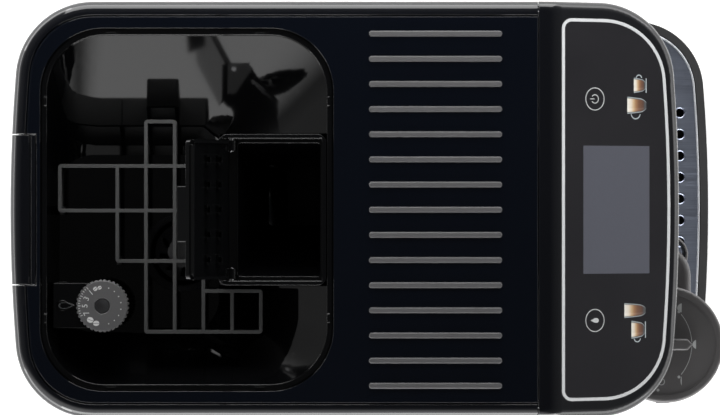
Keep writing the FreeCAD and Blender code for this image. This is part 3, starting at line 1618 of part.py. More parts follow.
makers = {
    "rubber_feet": rubber_feet,
    "base_plate": base_plate,
    "left_casing": lambda: side_casing(-1),
    "right_casing": lambda: side_casing(1),
    "front_bulkhead": front_bulkhead,
    "top_cover": top_cover,
    "head_shell": head_shell,
    "head_underside": head_underside,
    "light_strip": light_strip,
    "touch_panel": touch_panel,
    "display_module": display_module,
    "touch_board": touch_board,
    "bean_hopper": bean_hopper,
    "finger_guard": finger_guard,
    "service_chute": service_chute,
    "flap_pins": flap_pins,
    "chute_flap": chute_flap,
    "grind_knob": grind_knob,
    "knob_shaft": knob_shaft,
    "upper_burr_ring": upper_burr_ring,
    "lower_burr": lower_burr,
    "grinder_housing": grinder_housing,
    "ground_spout": ground_spout,
    "grinder_motor": grinder_motor,
    "grinder_stand": grinder_stand,
    "brew_frame": brew_frame,
    "brew_chamber": brew_chamber,
    "brew_piston": brew_piston,
    "press_screw": press_screw,
    "press_motor": press_motor,
    "pump": pump,
    "pump_bracket": pump_bracket,
    "flow_meter": flow_meter,
    "thermoblock": thermoblock,
    "steam_valve": steam_valve,
    "tank_hose": tank_hose,
    "feed_hose": feed_hose,
    "heater_hose": heater_hose,
    "brew_hose": brew_hose,
    "steam_pipe": steam_pipe,
    "steam_nozzle": steam_nozzle,
    "water_tank": water_tank,
    "tank_valve": tank_valve,
    "tank_handle": tank_handle,
    "tank_dock": tank_dock,
    "drip_tray": drip_tray,
    "drip_grid": drip_grid,
    "grounds_bin": grounds_bin,
    "coffee_outlet": coffee_outlet,
    "outlet_nozzles": outlet_nozzles,
    "outlet_guide": outlet_guide,
    "milk_cap": milk_cap,
    "milk_housing": milk_housing,
    "milk_spout": milk_spout,
    "milk_selector": milk_selector,
    "power_board": power_board,
    "cord_gland": cord_gland,
    "base_screws": base_screws,
}

os.makedirs("parts", exist_ok=True)
for name, make in makers.items():
    shape = make()
    print(name, shape.isValid(), len(shape.Solids), round(shape.Volume / 1000, 1))
    shape.exportStep("parts/" + name + ".step")
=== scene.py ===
import math
import bpy
import numpy as np
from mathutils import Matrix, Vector


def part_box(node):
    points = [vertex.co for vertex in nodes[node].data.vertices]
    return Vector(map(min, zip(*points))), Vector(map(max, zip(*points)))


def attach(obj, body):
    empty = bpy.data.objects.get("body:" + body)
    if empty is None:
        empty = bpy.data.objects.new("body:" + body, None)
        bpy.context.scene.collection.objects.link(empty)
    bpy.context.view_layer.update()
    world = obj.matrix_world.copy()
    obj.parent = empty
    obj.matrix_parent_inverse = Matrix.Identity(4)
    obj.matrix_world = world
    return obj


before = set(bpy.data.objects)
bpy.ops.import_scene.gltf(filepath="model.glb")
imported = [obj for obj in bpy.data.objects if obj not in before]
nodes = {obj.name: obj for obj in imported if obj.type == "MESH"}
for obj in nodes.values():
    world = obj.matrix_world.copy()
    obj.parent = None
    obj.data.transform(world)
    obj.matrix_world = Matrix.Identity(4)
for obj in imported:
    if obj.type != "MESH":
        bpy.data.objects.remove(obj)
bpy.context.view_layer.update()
scene = bpy.context.scene
scene.view_settings.view_transform = "Standard"
mm = 0.001
print("frame loaded:", len(nodes), "nodes")


# small helpers for shader trees
def newGroup(name, inputs, outputs):
    tree = bpy.data.node_groups.new(name, "ShaderNodeTree")
    for label, kind, value in inputs:
        socket = tree.interface.new_socket(label, in_out="INPUT", socket_type=kind)
        socket.default_value = value
    for label, kind in outputs:
        tree.interface.new_socket(label, in_out="OUTPUT", socket_type=kind)
    return tree, tree.nodes.new("NodeGroupInput"), tree.nodes.new("NodeGroupOutput")


def addNode(tree, kind, **settings):
    node = tree.nodes.new(kind)
    for key, value in settings.items():
        setattr(node, key, value)
    return node


def mapRange(tree, source, low, high, toLow, toHigh):
    node = addNode(tree, "ShaderNodeMapRange", interpolation_type="SMOOTHSTEP")
    tree.links.new(source, node.inputs["Value"])
    for label, value in (("From Min", low), ("From Max", high), ("To Min", toLow), ("To Max", toHigh)):
        if isinstance(value, bpy.types.NodeSocket):
            tree.links.new(value, node.inputs[label])
        else:
            node.inputs[label].default_value = value
    return node.outputs["Result"]


def objectNoise(tree, scale, detail, stretch=(1, 1, 1)):
    place = addNode(tree, "ShaderNodeTexCoord")
    mapping = addNode(tree, "ShaderNodeMapping")
    mapping.inputs["Scale"].default_value = stretch
    noise = addNode(tree, "ShaderNodeTexNoise")
    noise.inputs["Detail"].default_value = detail
    tree.links.new(place.outputs["Object"], mapping.inputs["Vector"])
    tree.links.new(mapping.outputs["Vector"], noise.inputs["Vector"])
    if isinstance(scale, bpy.types.NodeSocket):
        tree.links.new(scale, noise.inputs["Scale"])
    else:
        noise.inputs["Scale"].default_value = scale
    return noise.outputs["Fac"]


def mixColour(tree, mask, first, second):
    node = addNode(tree, "ShaderNodeMix", data_type="RGBA")
    tree.links.new(mask, node.inputs["Factor"])
    for socket, value in ((node.inputs[6], first), (node.inputs[7], second)):
        if isinstance(value, bpy.types.NodeSocket):
            tree.links.new(value, socket)
        else:
            socket.default_value = value
    return node.outputs[2]


groupOutputs = [("Colour", "NodeSocketColor"), ("Roughness", "NodeSocketFloat"),
                ("Height", "NodeSocketFloat")]

# moulded plastic: fine noise for the grain, broad noise for faint handling marks
grainLook = {"grainDetail": 3, "marksScale": 19, "marksDetail": 4, "marks": (0.35, 0.7)}


def makeMouldedGrain():
    look = grainLook
    inputs = [("Colour", "NodeSocketColor", (0.02, 0.02, 0.02, 1)),
              ("Tint", "NodeSocketColor", (0.03, 0.03, 0.03, 1)),
              ("Grain Scale", "NodeSocketFloat", 1400.0), ("Smooth", "NodeSocketFloat", 0.1),
              ("Rough", "NodeSocketFloat", 0.2)]
    tree, entry, out = newGroup("mouldedGrain", inputs, groupOutputs)
    grain = objectNoise(tree, entry.outputs["Grain Scale"], look["grainDetail"])
    marks = objectNoise(tree, look["marksScale"], look["marksDetail"])
    colour = mixColour(tree, marks, entry.outputs["Colour"], entry.outputs["Tint"])
    tree.links.new(colour, out.inputs["Colour"])
    rough = mapRange(tree, marks, *look["marks"], entry.outputs["Smooth"], entry.outputs["Rough"])
    tree.links.new(rough, out.inputs["Roughness"])
    tree.links.new(grain, out.inputs["Height"])
    return tree


# brushed metal: noise drawn out along Y, so the lines run from front to rear
brushLook = {"scale": 60, "detail": 5, "stretch": (60, 0.6, 60), "lines": (0.3, 0.7)}


def makeBrushedLines():
    look = brushLook
    inputs = [("Colour", "NodeSocketColor", (0.4, 0.4, 0.4, 1)),
              ("Bright", "NodeSocketColor", (0.5, 0.5, 0.5, 1)),
              ("Smooth", "NodeSocketFloat", 0.2), ("Rough", "NodeSocketFloat", 0.4)]
    tree, entry, out = newGroup("brushedLines", inputs, groupOutputs)
    lines = objectNoise(tree, look["scale"], look["detail"], look["stretch"])
    colour = mixColour(tree, lines, entry.outputs["Colour"], entry.outputs["Bright"])
    tree.links.new(colour, out.inputs["Colour"])
    rough = mapRange(tree, lines, *look["lines"], entry.outputs["Smooth"], entry.outputs["Rough"])
    tree.links.new(rough, out.inputs["Roughness"])
    tree.links.new(lines, out.inputs["Height"])
    return tree


mouldedGrain = makeMouldedGrain()
brushedLines = makeBrushedLines()
print("node groups built")

# what all finishes share; the depth of the bump is in mm
finishRules = {"bevelSamples": 6, "bumpDepth": 0.2, "ior": 1.5}

# what each finish looks like; edge is the radius of the softened edges in mm
finishes = {
    "shellGloss": {"colour": (0.0032, 0.0036, 0.0050), "tint": (0.0040, 0.0044, 0.0060),
                   "smooth": 0.045, "rough": 0.085, "grain": 300, "bump": 0.004,
                   "edge": 0.7, "ior": 1.46, "slot": "gloss_black"},
    "deckGloss": {"colour": (0.0014, 0.0023, 0.0048), "tint": (0.0020, 0.0030, 0.0058),
                  "smooth": 0.05, "rough": 0.09, "grain": 300, "bump": 0.003,
                  "edge": 0.5, "slot": "gloss_black"},
    "bowlGloss": {"colour": (0.0016, 0.0017, 0.0020), "tint": (0.0022, 0.0023, 0.0027),
                  "smooth": 0.04, "rough": 0.08, "grain": 400, "bump": 0.004,
                  "edge": 0.8, "slot": "gloss_black"},
    "panelGlass": {"colour": (0.0078, 0.0073, 0.0096), "tint": (0.0096, 0.0091, 0.0114),
                   "smooth": 0.14, "rough": 0.2, "grain": 900, "bump": 0.002,
                   "edge": 0.3, "slot": "panel_black"},
    "lightGuide": {"colour": (0.56, 0.57, 0.58), "tint": (0.62, 0.63, 0.64),
                   "smooth": 0.25, "rough": 0.35, "grain": 800, "bump": 0.002,
                   "edge": 0.3, "slot": "light_white"},
    "satinDark": {"colour": (0.020, 0.020, 0.0205), "tint": (0.026, 0.026, 0.0265),
                  "smooth": 0.34, "rough": 0.46, "grain": 2600, "bump": 0.04,
                  "edge": 0.5, "slot": "dark_grey"},
    "trayGrey": {"colour": (0.034, 0.034, 0.035), "tint": (0.042, 0.042, 0.043),
                 "smooth": 0.34, "rough": 0.46, "grain": 2600, "bump": 0.04,
                 "edge": 0.6, "slot": "dark_grey"},
    "satinWarm": {"colour": (0.072, 0.069, 0.070), "tint": (0.084, 0.081, 0.082),
                  "smooth": 0.38, "rough": 0.48, "grain": 2600, "bump": 0.05,
                  "edge": 1.4, "slot": "dark_grey"},
    "guardGrey": {"colour": (0.060, 0.061, 0.061), "tint": (0.075, 0.076, 0.076),
                  "smooth": 0.36, "rough": 0.5, "grain": 2200, "bump": 0.06,
                  "edge": 0.35, "slot": "guard_grey"},
    "knobGrey": {"colour": (0.076, 0.075, 0.077), "tint": (0.090, 0.089, 0.091),
                 "smooth": 0.42, "rough": 0.55, "grain": 3000, "bump": 0.08,
                 "edge": 0.3, "slot": "dark_grey"},
    "flapDark": {"colour": (0.0016, 0.0017, 0.0019), "tint": (0.0024, 0.0025, 0.0027),
                 "smooth": 0.07, "rough": 0.12, "grain": 2000, "bump": 0.01,
                 "edge": 0.4, "ior": 1.3, "slot": "guard_grey"},
    "innerPlastic": {"colour": (0.15, 0.155, 0.16), "tint": (0.19, 0.195, 0.2),
                     "smooth": 0.4, "rough": 0.55, "grain": 2200, "bump": 0.06,
                     "edge": 0.4, "slot": "inner_grey"},
    "softRubber": {"colour": (0.012, 0.012, 0.012), "tint": (0.018, 0.018, 0.018),
                   "smooth": 0.65, "rough": 0.8, "grain": 1800, "bump": 0.12,
                   "edge": 0.4, "slot": "rubber_black"},
    "siliconeHose": {"colour": (0.62, 0.60, 0.55), "tint": (0.70, 0.68, 0.63),
                     "smooth": 0.35, "rough": 0.5, "grain": 900, "bump": 0.02,
                     "edge": 0.2, "slot": "hose_clear"},
    "circuitGreen": {"colour": (0.012, 0.075, 0.034), "tint": (0.018, 0.10, 0.046),
                     "smooth": 0.3, "rough": 0.45, "grain": 500, "bump": 0.02,
                     "edge": 0.2, "slot": "board_green"},
    "screenModule": {"colour": (0.03, 0.032, 0.036), "tint": (0.036, 0.038, 0.042),
                     "smooth": 0.25, "rough": 0.35, "grain": 700, "bump": 0.0,
                     "edge": 0.2, "slot": "display"},
    "motorCan": {"colour": (0.30, 0.30, 0.31), "tint": (0.38, 0.38, 0.39),
                 "smooth": 0.3, "rough": 0.45, "grain": 700, "bump": 0.03,
                 "edge": 0.4, "metal": 1.0, "slot": "motor_can"},
    "castAlloy": {"colour": (0.52, 0.52, 0.53), "tint": (0.62, 0.62, 0.63),
                  "smooth": 0.4, "rough": 0.6, "grain": 1100, "bump": 0.15,
                  "edge": 0.5, "metal": 1.0, "slot": "heater_alloy"},
    "burrSteel": {"colour": (0.42, 0.42, 0.43), "tint": (0.52, 0.52, 0.53),
                  "smooth": 0.14, "rough": 0.26, "grain": 900, "bump": 0.03,
                  "edge": 0.3, "metal": 1.0, "slot": "burr_steel"},
    "brushedSteel": {"colour": (0.25, 0.28, 0.355), "tint": (0.48, 0.525, 0.64),
                     "smooth": 0.36, "rough": 0.5, "bump": 0.05,
                     "edge": 0.3, "metal": 1.0, "brushed": True, "slot": "steel"},
    # pale half-matt steel for the grid's rolled edge: partly a painted highlight, a line that stays bright
    # under any lamp
    "lipGlintSteel": {"colour": (0.66, 0.68, 0.71), "tint": (0.70, 0.72, 0.75),
                    "smooth": 0.24, "rough": 0.32, "grain": 900, "bump": 0.0,
                    "edge": 0.1, "metal": 0.5, "slot": "steel"},
    "turnedMetal": {"colour": (0.20, 0.20, 0.21), "tint": (0.26, 0.26, 0.27),
                    "smooth": 0.24, "rough": 0.36, "grain": 1500, "bump": 0.02,
                    "edge": 0.1, "metal": 1.0, "slot": "burr_steel"},
    "smokedTank": {"colour": (0.035, 0.037, 0.04), "tint": (0.04, 0.042, 0.046),
                   "smooth": 0.08, "rough": 0.14, "grain": 300, "bump": 0.004,
                   "edge": 0.5, "alpha": 0.82, "slot": "tank_smoke"},
}

paintedNodes = {
    "shellGloss": ["left_casing", "right_casing", "front_bulkhead", "head_shell", "tank_handle",
                   "grounds_bin", "coffee_outlet", "milk_housing"],
    "deckGloss": ["top_cover"],
    "bowlGloss": ["bean_hopper", "service_chute"],
    "panelGlass": ["touch_panel"],
    "lightGuide": ["light_strip"],
    "satinDark": ["base_plate", "head_underside", "outlet_guide"],
    "trayGrey": ["drip_tray"],
    "satinWarm": ["milk_cap", "milk_selector", "milk_spout"],
    "guardGrey": ["finger_guard"],
    "knobGrey": ["grind_knob"],
    "flapDark": ["chute_flap"],
    "innerPlastic": ["knob_shaft", "grinder_housing", "ground_spout", "grinder_stand", "brew_frame",
                     "brew_chamber", "brew_piston", "flow_meter", "tank_valve", "tank_dock"],
    "softRubber": ["rubber_feet", "cord_gland"],
    "siliconeHose": ["tank_hose", "feed_hose", "heater_hose", "brew_hose", "steam_pipe"],
    "circuitGreen": ["touch_board", "power_board"],
    "screenModule": ["display_module"],
    "motorCan": ["grinder_motor", "press_motor", "pump", "steam_valve"],
    "castAlloy": ["thermoblock"],
    "burrSteel": ["flap_pins", "upper_burr_ring", "lower_burr", "press_screw", "pump_bracket",
                  "base_screws"],
    "brushedSteel": ["steam_nozzle", "drip_grid", "outlet_nozzles"],
    "smokedTank": ["water_tank"],
}


def makeFinish(name, look):
    material = bpy.data.materials.new(name)
    material.use_nodes = True
    tree = material.node_tree
    shader = tree.nodes["Principled BSDF"]
    brushed = look.get("brushed", False)
    group = addNode(tree, "ShaderNodeGroup", node_tree=brushedLines if brushed else mouldedGrain)
    group.inputs["Colour"].default_value = (*look["colour"], 1)
    group.inputs["Bright" if brushed else "Tint"].default_value = (*look["tint"], 1)
    group.inputs["Smooth"].default_value = look["smooth"]
    group.inputs["Rough"].default_value = look["rough"]
    if not brushed:
        group.inputs["Grain Scale"].default_value = look["grain"]
    shader.inputs["Metallic"].default_value = look.get("metal", 0.0)
    shader.inputs["Alpha"].default_value = look.get("alpha", 1.0)
    shader.inputs["IOR"].default_value = look.get("ior", finishRules["ior"])
    tree.links.new(group.outputs["Colour"], shader.inputs["Base Color"])
    tree.links.new(group.outputs["Roughness"], shader.inputs["Roughness"])
    soften = addNode(tree, "ShaderNodeBevel", samples=finishRules["bevelSamples"])
    soften.inputs["Radius"].default_value = look["edge"] * mm
    bump = addNode(tree, "ShaderNodeBump")
    bump.inputs["Strength"].default_value = look["bump"]
    bump.inputs["Distance"].default_value = finishRules["bumpDepth"] * mm
    tree.links.new(group.outputs["Height"], bump.inputs["Height"])
    tree.links.new(soften.outputs["Normal"], bump.inputs["Normal"])
    tree.links.new(bump.outputs["Normal"], shader.inputs["Normal"])
    return material


# the cup ribs are the only part of the cover above its face, so their grey goes by height in mm; the grey
# is partly the ribs' matt finish and partly a painted sheen, the light their tops catch
ribGreyAndSheen = {"colour": (0.077, 0.076, 0.079, 1), "from": 0.125, "above": 0.25, "rough": 0.7}


def paintRibs(material):
    tree = material.node_tree
    shader = tree.nodes["Principled BSDF"]
    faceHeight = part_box("left_casing")[1].z
    place = addNode(tree, "ShaderNodeTexCoord")
    split = addNode(tree, "ShaderNodeSeparateXYZ")
    tree.links.new(place.outputs["Object"], split.inputs[0])
    mask = mapRange(tree, split.outputs["Z"], faceHeight + ribGreyAndSheen["from"] * mm,
                    faceHeight + ribGreyAndSheen["above"] * mm, 0.0, 1.0)
    plain = shader.inputs["Base Color"].links[0].from_socket
    # the ribs' grey: partly their matt finish, partly painted sheen over the deck's near-black plastic
    tree.links.new(mixColour(tree, mask, plain, ribGreyAndSheen["colour"]), shader.inputs["Base Color"])
    rough = shader.inputs["Roughness"].links[0].from_socket
    tree.links.new(mapRange(tree, mask, 0, 1, rough, ribGreyAndSheen["rough"]), shader.inputs["Roughness"])


materials = {name: makeFinish(name, look) for name, look in finishes.items()}
paintRibs(materials["deckGloss"])
for name, members in paintedNodes.items():
    for node in members:
        nodes[node].data.materials.clear()
        nodes[node].data.materials.append(materials[name])
print("finishes on", sum(len(m) for m in paintedNodes.values()), "nodes")


# prints are thin closed plates; each part is (points, faces) in a flat frame a, b, out in mm
printThickness = 0.08
printLift = 0.01
# how many points the curves of the prints have
printSteps = {"ring": 72, "arc": 40, "drop": 40, "handle": 24, "bean": 16, "dot": 32,
              "scale": 32, "heap": 20, "turnMark": 24, "teardrop": 60}


def gridPlate(a, b, wrap=False):
    # two parameters s, t give a grid of points a(s,t), b(s,t);
    # the same grid sits below it, and walls close the sides
    n, m = a.shape
    flat = np.stack([a, b], -1).reshape(-1, 2)
    top = np.column_stack([flat, np.full(len(flat), printThickness)])
    low = np.column_stack([flat, np.zeros(len(flat))])
    index = np.arange(n * m).reshape(n, m)
    first = index if wrap else index[:-1]
    after = np.roll(index, -1, 0) if wrap else index[1:]
    quads = np.stack([first[:, :-1], after[:, :-1], after[:, 1:], first[:, 1:]], -1).reshape(-1, 4)
    p = flat[quads]
    turn = np.sum((p[:, 1, 0] - p[:, 0, 0]) * (p[:, 2, 1] - p[:, 0, 1])
                  - (p[:, 1, 1] - p[:, 0, 1]) * (p[:, 2, 0] - p[:, 0, 0]))
    quads = quads if turn > 0 else quads[:, ::-1]
    edges = [np.stack([first[:, 0], after[:, 0]], -1), np.stack([after[:, -1], first[:, -1]], -1)]
    if not wrap:
        edges += [np.stack([index[0, 1:], index[0, :-1]], -1),
                  np.stack([index[-1, :-1], index[-1, 1:]], -1)]
    edges = np.concatenate(edges)
    edges = edges if turn > 0 else edges[:, ::-1]
    lower = n * m
    walls = np.stack([edges[:, 1], edges[:, 0], edges[:, 0] + lower, edges[:, 1] + lower], -1)
    faces = np.concatenate([quads, quads[:, ::-1] + lower, walls])
    return np.concatenate([top, low]), faces.tolist()


def discPlate(a, b):
    # a closed outline a(s), b(s), filled, with a wall down to the surface
    n = len(a)
    area = np.sum(a * np.roll(b, -1) - np.roll(a, -1) * b)
    a, b = (a, b) if area > 0 else (a[::-1], b[::-1])
    ring = np.arange(n)
    after = np.roll(ring, -1)
    top = np.column_stack([a, b, np.full(n, printThickness)])
    points = np.concatenate([top, np.column_stack([a, b, np.zeros(n)])])
    walls = np.stack([ring, ring + n, after + n, after], -1).tolist()
    return points, [ring.tolist(), (ring[::-1] + n).tolist()] + walls


def arcPlate(a, b, radius, width, start, end, steps):
    # a ring or part of one: angle runs from start to end in degrees, radius across the width
    full = abs(end - start) >= 360
    angle = np.radians(np.linspace(start, end, steps, endpoint=not full))[:, None]
    r = np.array([radius - width / 2, radius + width / 2])[None, :]
    return gridPlate(a + r * np.cos(angle), b + r * np.sin(angle), wrap=full)


def barPlate(a0, b0, a1, b1, width):
    # a straight bar between two points
    length = math.hypot(a1 - a0, b1 - b0)
    across = np.array([-(b1 - b0), a1 - a0]) / length * width / 2
    along = np.linspace(0, 1, 2)[:, None]
    side = np.array([-1.0, 1.0])[None, :]
    return gridPlate(a0 + along * (a1 - a0) + side * across[0],
                     b0 + along * (b1 - b0) + side * across[1])


def dotPlate(a, b, radius):
    # a filled circle
    t = np.linspace(0, 2 * np.pi, printSteps["dot"], endpoint=False)
    return discPlate(a + radius * np.cos(t), b + radius * np.sin(t))


def numberPlate(text, a, b, size, turn):
    # a number set as text, made a mesh, then turned and moved in the flat frame
    curve = bpy.data.curves.new("number", "FONT")
    curve.body = text
    curve.size = size
    curve.align_x = "CENTER"
    curve.align_y = "CENTER"
    curve.extrude = printThickness / 2
    holder = bpy.data.objects.new("number", curve)
    scene.collection.objects.link(holder)
    graph = bpy.context.evaluated_depsgraph_get()
    mesh = bpy.data.meshes.new_from_object(holder.evaluated_get(graph))
    points = np.empty(len(mesh.vertices) * 3)
    mesh.vertices.foreach_get("co", points)
    points = points.reshape(-1, 3)
    faces = [list(p.vertices) for p in mesh.polygons]
    c, s = math.cos(math.radians(turn)), math.sin(math.radians(turn))
    x, y = points[:, 0].copy(), points[:, 1].copy()
    points[:, 0], points[:, 1] = a + x * c - y * s, b + x * s + y * c
    points[:, 2] += printThickness / 2
    bpy.data.objects.remove(holder)
    return points, faces


def addPiece(name, parts, place, material, body, paint=None):
    # all parts of a piece in one mesh; place turns flat a, b, out in mm into the row frame in metres;
    # paint is a colour for every point, kept as the attribute "ink"
    points, faces, start = [], [], 0
    for partPoints, partFaces in parts:
        points.append(partPoints)
        faces += [[i + start for i in face] for face in partFaces]
        start += len(partPoints)
    flat = np.concatenate(points)
    mesh = bpy.data.meshes.new(name)
    mesh.from_pydata(place(flat).tolist(), [], faces)
    mesh.materials.append(material)
    if paint is not None:
        ink = mesh.attributes.new("ink", "FLOAT_COLOR", "POINT")
        inkValues = np.column_stack([paint, np.ones(len(paint))]).astype(np.float32)
        ink.data.foreach_set("color", inkValues.ravel())
    piece = bpy.data.objects.new(name, mesh)
    scene.collection.objects.link(piece)
    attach(piece, body)
    return piece


inkLook = {"fade": 0.86, "grain": 900, "detail": 3, "paintedRough": 0.45}


def printMaterial(name, colour, rough):
    # printed ink: one colour with a little noise in it
    material = bpy.data.materials.new(name)
    material.use_nodes = True
    tree = material.node_tree
    shader = tree.nodes["Principled BSDF"]
    shader.inputs["Roughness"].default_value = rough
    fade = tuple(inkLook["fade"] * c for c in colour)
    grain = objectNoise(tree, inkLook["grain"], inkLook["detail"])
    ink = mixColour(tree, grain, (*colour, 1), (*fade, 1))
    tree.links.new(ink, shader.inputs["Base Color"])
    return material


def paintedInk():
    # ink whose colour is kept on the points
    material = printMaterial("inkPainted", (1, 1, 1), inkLook["paintedRough"])
    tree = material.node_tree
    shader = tree.nodes["Principled BSDF"]
    grain = shader.inputs["Base Color"].links[0].from_socket
    colour = addNode(tree, "ShaderNodeAttribute", attribute_name="ink")
    both = addNode(tree, "ShaderNodeMix", data_type="RGBA", blend_type="MULTIPLY")
    both.inputs["Factor"].default_value = 1.0
    tree.links.new(colour.outputs["Color"], both.inputs[6])
    tree.links.new(grain, both.inputs[7])
    tree.links.new(both.outputs[2], shader.inputs["Base Color"])
    return material


inks = {"white": printMaterial("inkWhite", (0.52, 0.53, 0.53), 0.5),
        "grey": printMaterial("inkGrey", (0.40, 0.41, 0.41), 0.5),
        "knob": printMaterial("inkKnob", (0.62, 0.62, 0.62), 0.5),
        "faint": printMaterial("inkFaint", (0.060, 0.062, 0.064), 0.35),
        "screen": printMaterial("inkScreen", (0.075, 0.078, 0.099), 0.3)}


def panelPlace(flat):
    # a runs along X, b up the slope from the panel's rear edge (so b is negative),
    # out along the slope's normal
    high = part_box("touch_panel")[1]
    slope = math.radians(panelLayout["slope"])
    up = np.array([0, math.cos(slope), math.sin(slope)])
    out = np.array([0, -math.sin(slope), math.cos(slope)])
    start = np.array([0, high.y, high.z])
    across = np.array([1.0, 0, 0])
    return start + mm * (flat[:, :1] * across + flat[:, 1:2] * up + (flat[:, 2:] + printLift) * out)


# sizes within the round keys are shares of their radius, and a handle's are shares of its cup;
# cups are (a, b, ((offset a, offset b, height, half width, handle's side, saucer's half width), ...))
panelLayout = {"slope": 32.0, "screen": (74.0, -12.7, -59.2), "line": 0.5,
               "keyX": 64.0, "keyB": -20.8, "keyRadius": 6.4,
               "powerArc": 0.38, "powerFrom": 125, "powerTo": 415, "powerBar": (0.05, 0.52),
               "dropHalf": 0.30, "dropTall": 0.46, "dropRise": 0.04, "dropPoint": 1.4,
               "handleOut": 0.92, "handleUp": 0.56, "handleRadius": 0.24, "handleLine": 0.6,
               "handleFromLeft": 100, "handleFromRight": -80, "handleSweep": 160,
               "saucerDown": 0.5, "saucerLine": 0.6,
               "cups": ((66.0, -57.0, ((-5.4, 0.0, 13.4, 5.0, -1, 0), (6.2, 0.6, 8.2, 4.4, 1, 4.2))),
                        (-63.5, -56.5, ((-6.2, 0.6, 9.4, 5.2, -1, 4.8), (5.0, 0.0, 15.0, 4.3, 0, 0))))}
# the fill of a cup from the foot up: coffee, crema, foam; sizes are shares of the cup
cupLook = {"across": 27, "up": 30, "foot": 0.3, "footCut": 0.7, "taper": 0.62, "swell": 0.6,
           "glass": (0.40, 0.45, 0.47), "wall": (0.05, 0.055, 0.06), "wallFrom": 0.80, "rimFrom": 0.90,
           "edgeFade": 0.03, "footWall": 0.12, "footFade": 0.02,
           "streak": 0.1, "streakAt": -0.5, "streakWide": 0.12, "streakLow": 0.3,
           "fill": ((0.10, (0.055, 0.020, 0.010)), (0.40, (0.16, 0.062, 0.024)), (0.56, (0.34, 0.17, 0.07)),
                    (0.68, (0.58, 0.40, 0.22)), (0.80, (0.74, 0.66, 0.54)), (1.0, (0.80, 0.77, 0.71)))}


def cupPlate(a, b, height, half):
    # a cup seen from the side on a grid: s runs across, t up;
    # the half width grows with t and rounds off at the foot
    look = cupLook
    s = np.linspace(-1, 1, look["across"])[None, :]
    t = np.linspace(0, 1, look["up"])[:, None]
    foot = 1 - np.clip(t / look["foot"], 0, 1)
    rise = look["taper"] + (1 - look["taper"]) * t ** look["swell"]
    wide = half * rise * np.sqrt(1 - look["footCut"] * foot ** 2)
    plate = gridPlate(a + s * wide, b + height * t + 0 * s)
    stops, shades = zip(*look["fill"])
    colour = np.stack([np.interp(t + 0 * s, stops, channel) for channel in zip(*shades)], -1)
    # a pale streak left of the middle, stronger towards the top
    low = look["streakLow"]
    streak = np.exp(-((s - look["streakAt"]) / look["streakWide"]) ** 2) * (low + (1 - low) * t)
    colour = colour + look["streak"] * streak[..., None]
    sideWall = np.clip((np.abs(s) - look["wallFrom"]) / look["edgeFade"], 0, 1)
    footWall = np.clip((look["footWall"] - t) / look["footFade"], 0, 1)
    wall = np.maximum(sideWall, footWall)[..., None]
    rim = np.clip((np.abs(s) - look["rimFrom"]) / look["edgeFade"], 0, 1)[..., None]
    colour = colour * (1 - wall) + np.array(look["wall"]) * wall
    colour = colour * (1 - rim) + np.array(look["glass"]) * rim
    flat = colour.reshape(-1, 3)
    return plate, np.concatenate([flat, flat])


def makePanelPrints():
    look = panelLayout
    width, rear, front = look["screen"]
    a = np.array([[-width / 2, width / 2]] * 2)
    b = np.array([[rear] * 2, [front] * 2])
    addPiece("screenFace", [gridPlate(a, b)], panelPlace, inks["screen"], "machine")
    line, r = look["line"], look["keyRadius"]
    x, y = look["keyX"], look["keyB"]
    barLow, barHigh = look["powerBar"]
    power = [arcPlate(x, y, r, line, 0, 360, printSteps["ring"]),
             arcPlate(x, y, look["powerArc"] * r, line, look["powerFrom"], look["powerTo"],
                      printSteps["arc"]),
             barPlate(x, y + barLow * r, x, y + barHigh * r, line)]
    addPiece("powerMark", power, panelPlace, inks["white"], "machine")
    # a water drop: a circle's sine drawn in towards the top
    turn = np.linspace(0, 2 * np.pi, printSteps["drop"], endpoint=False)
    wide = look["dropHalf"] * r * np.sin(turn) * np.sin(turn / 2) ** look["dropPoint"]
    tall = look["dropTall"] * r * np.cos(turn)
    care = [arcPlate(-x, y, r, line, 0, 360, printSteps["ring"]),
            discPlate(-x + wide, y + look["dropRise"] * r + tall)]
    addPiece("careMark", care, panelPlace, inks["white"], "machine")
    makeCups(look)


def makeCups(look):
    # every cup with its handle and saucer, all in one piece
    parts, paint = [], []
    for x, y, shapes in look["cups"]:
        for dx, dy, height, half, handle, saucer in shapes:
            plate, colour = cupPlate(x + dx, y + dy, height, half)
            plain = []
            if handle:
                start = look["handleFromLeft"] if handle < 0 else look["handleFromRight"]
                plain.append(arcPlate(x + dx + look["handleOut"] * handle * half,
                                      y + dy + look["handleUp"] * height,
                                      look["handleRadius"] * height, look["handleLine"],
                                      start, start + look["handleSweep"], printSteps["handle"]))
            if saucer:
                under = y + dy - look["saucerDown"]
                plain.append(barPlate(x + dx - saucer, under, x + dx + saucer, under, look["saucerLine"]))
            parts += [plate] + plain
            paint.append(colour)
            paint += [np.tile(cupLook["glass"], (len(part[0]), 1)) for part in plain]
    addPiece("cupPictures", parts, panelPlace, paintedInk(), "machine",
             np.concatenate(paint))


makePanelPrints()
print("panel prints made")


def knobPlace(flat):
    # a to the pointer side (+Y), b towards +X, on the knob's top face
    low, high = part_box("grind_knob")
    centre = np.array([(low.x + high.x) / 2, (low.y + high.y) / 2, high.z])
    return centre + mm * np.column_stack([-flat[:, 1], flat[:, 0], flat[:, 2] + printLift])


# angles in degrees from the pointer's side; beans are (angle, half length)
knobLayout = {"numbers": (("1", -50.0), ("3", -25.0), ("5", 0.0), ("7", 25.0)),
              "numberRadius": 9.9, "size": 4.6,
              "tickFrom": -50, "tickTo": 25.1, "tickStep": 6.25,
              "tickRadius": 12.9, "tick": 1.0, "longTick": 1.5, "line": 0.34,
              "beans": ((49.5, 1.9), (71.0, 1.75), (-68.0, 1.3), (-82.0, 1.15)), "beanRadius": 10.6,
              "beanSlot": 0.14, "beanWide": 0.78, "beanLean": 0.35,
              "dotAngles": (110, 251, 20), "dotRadius": 10.9, "dot": 0.35}


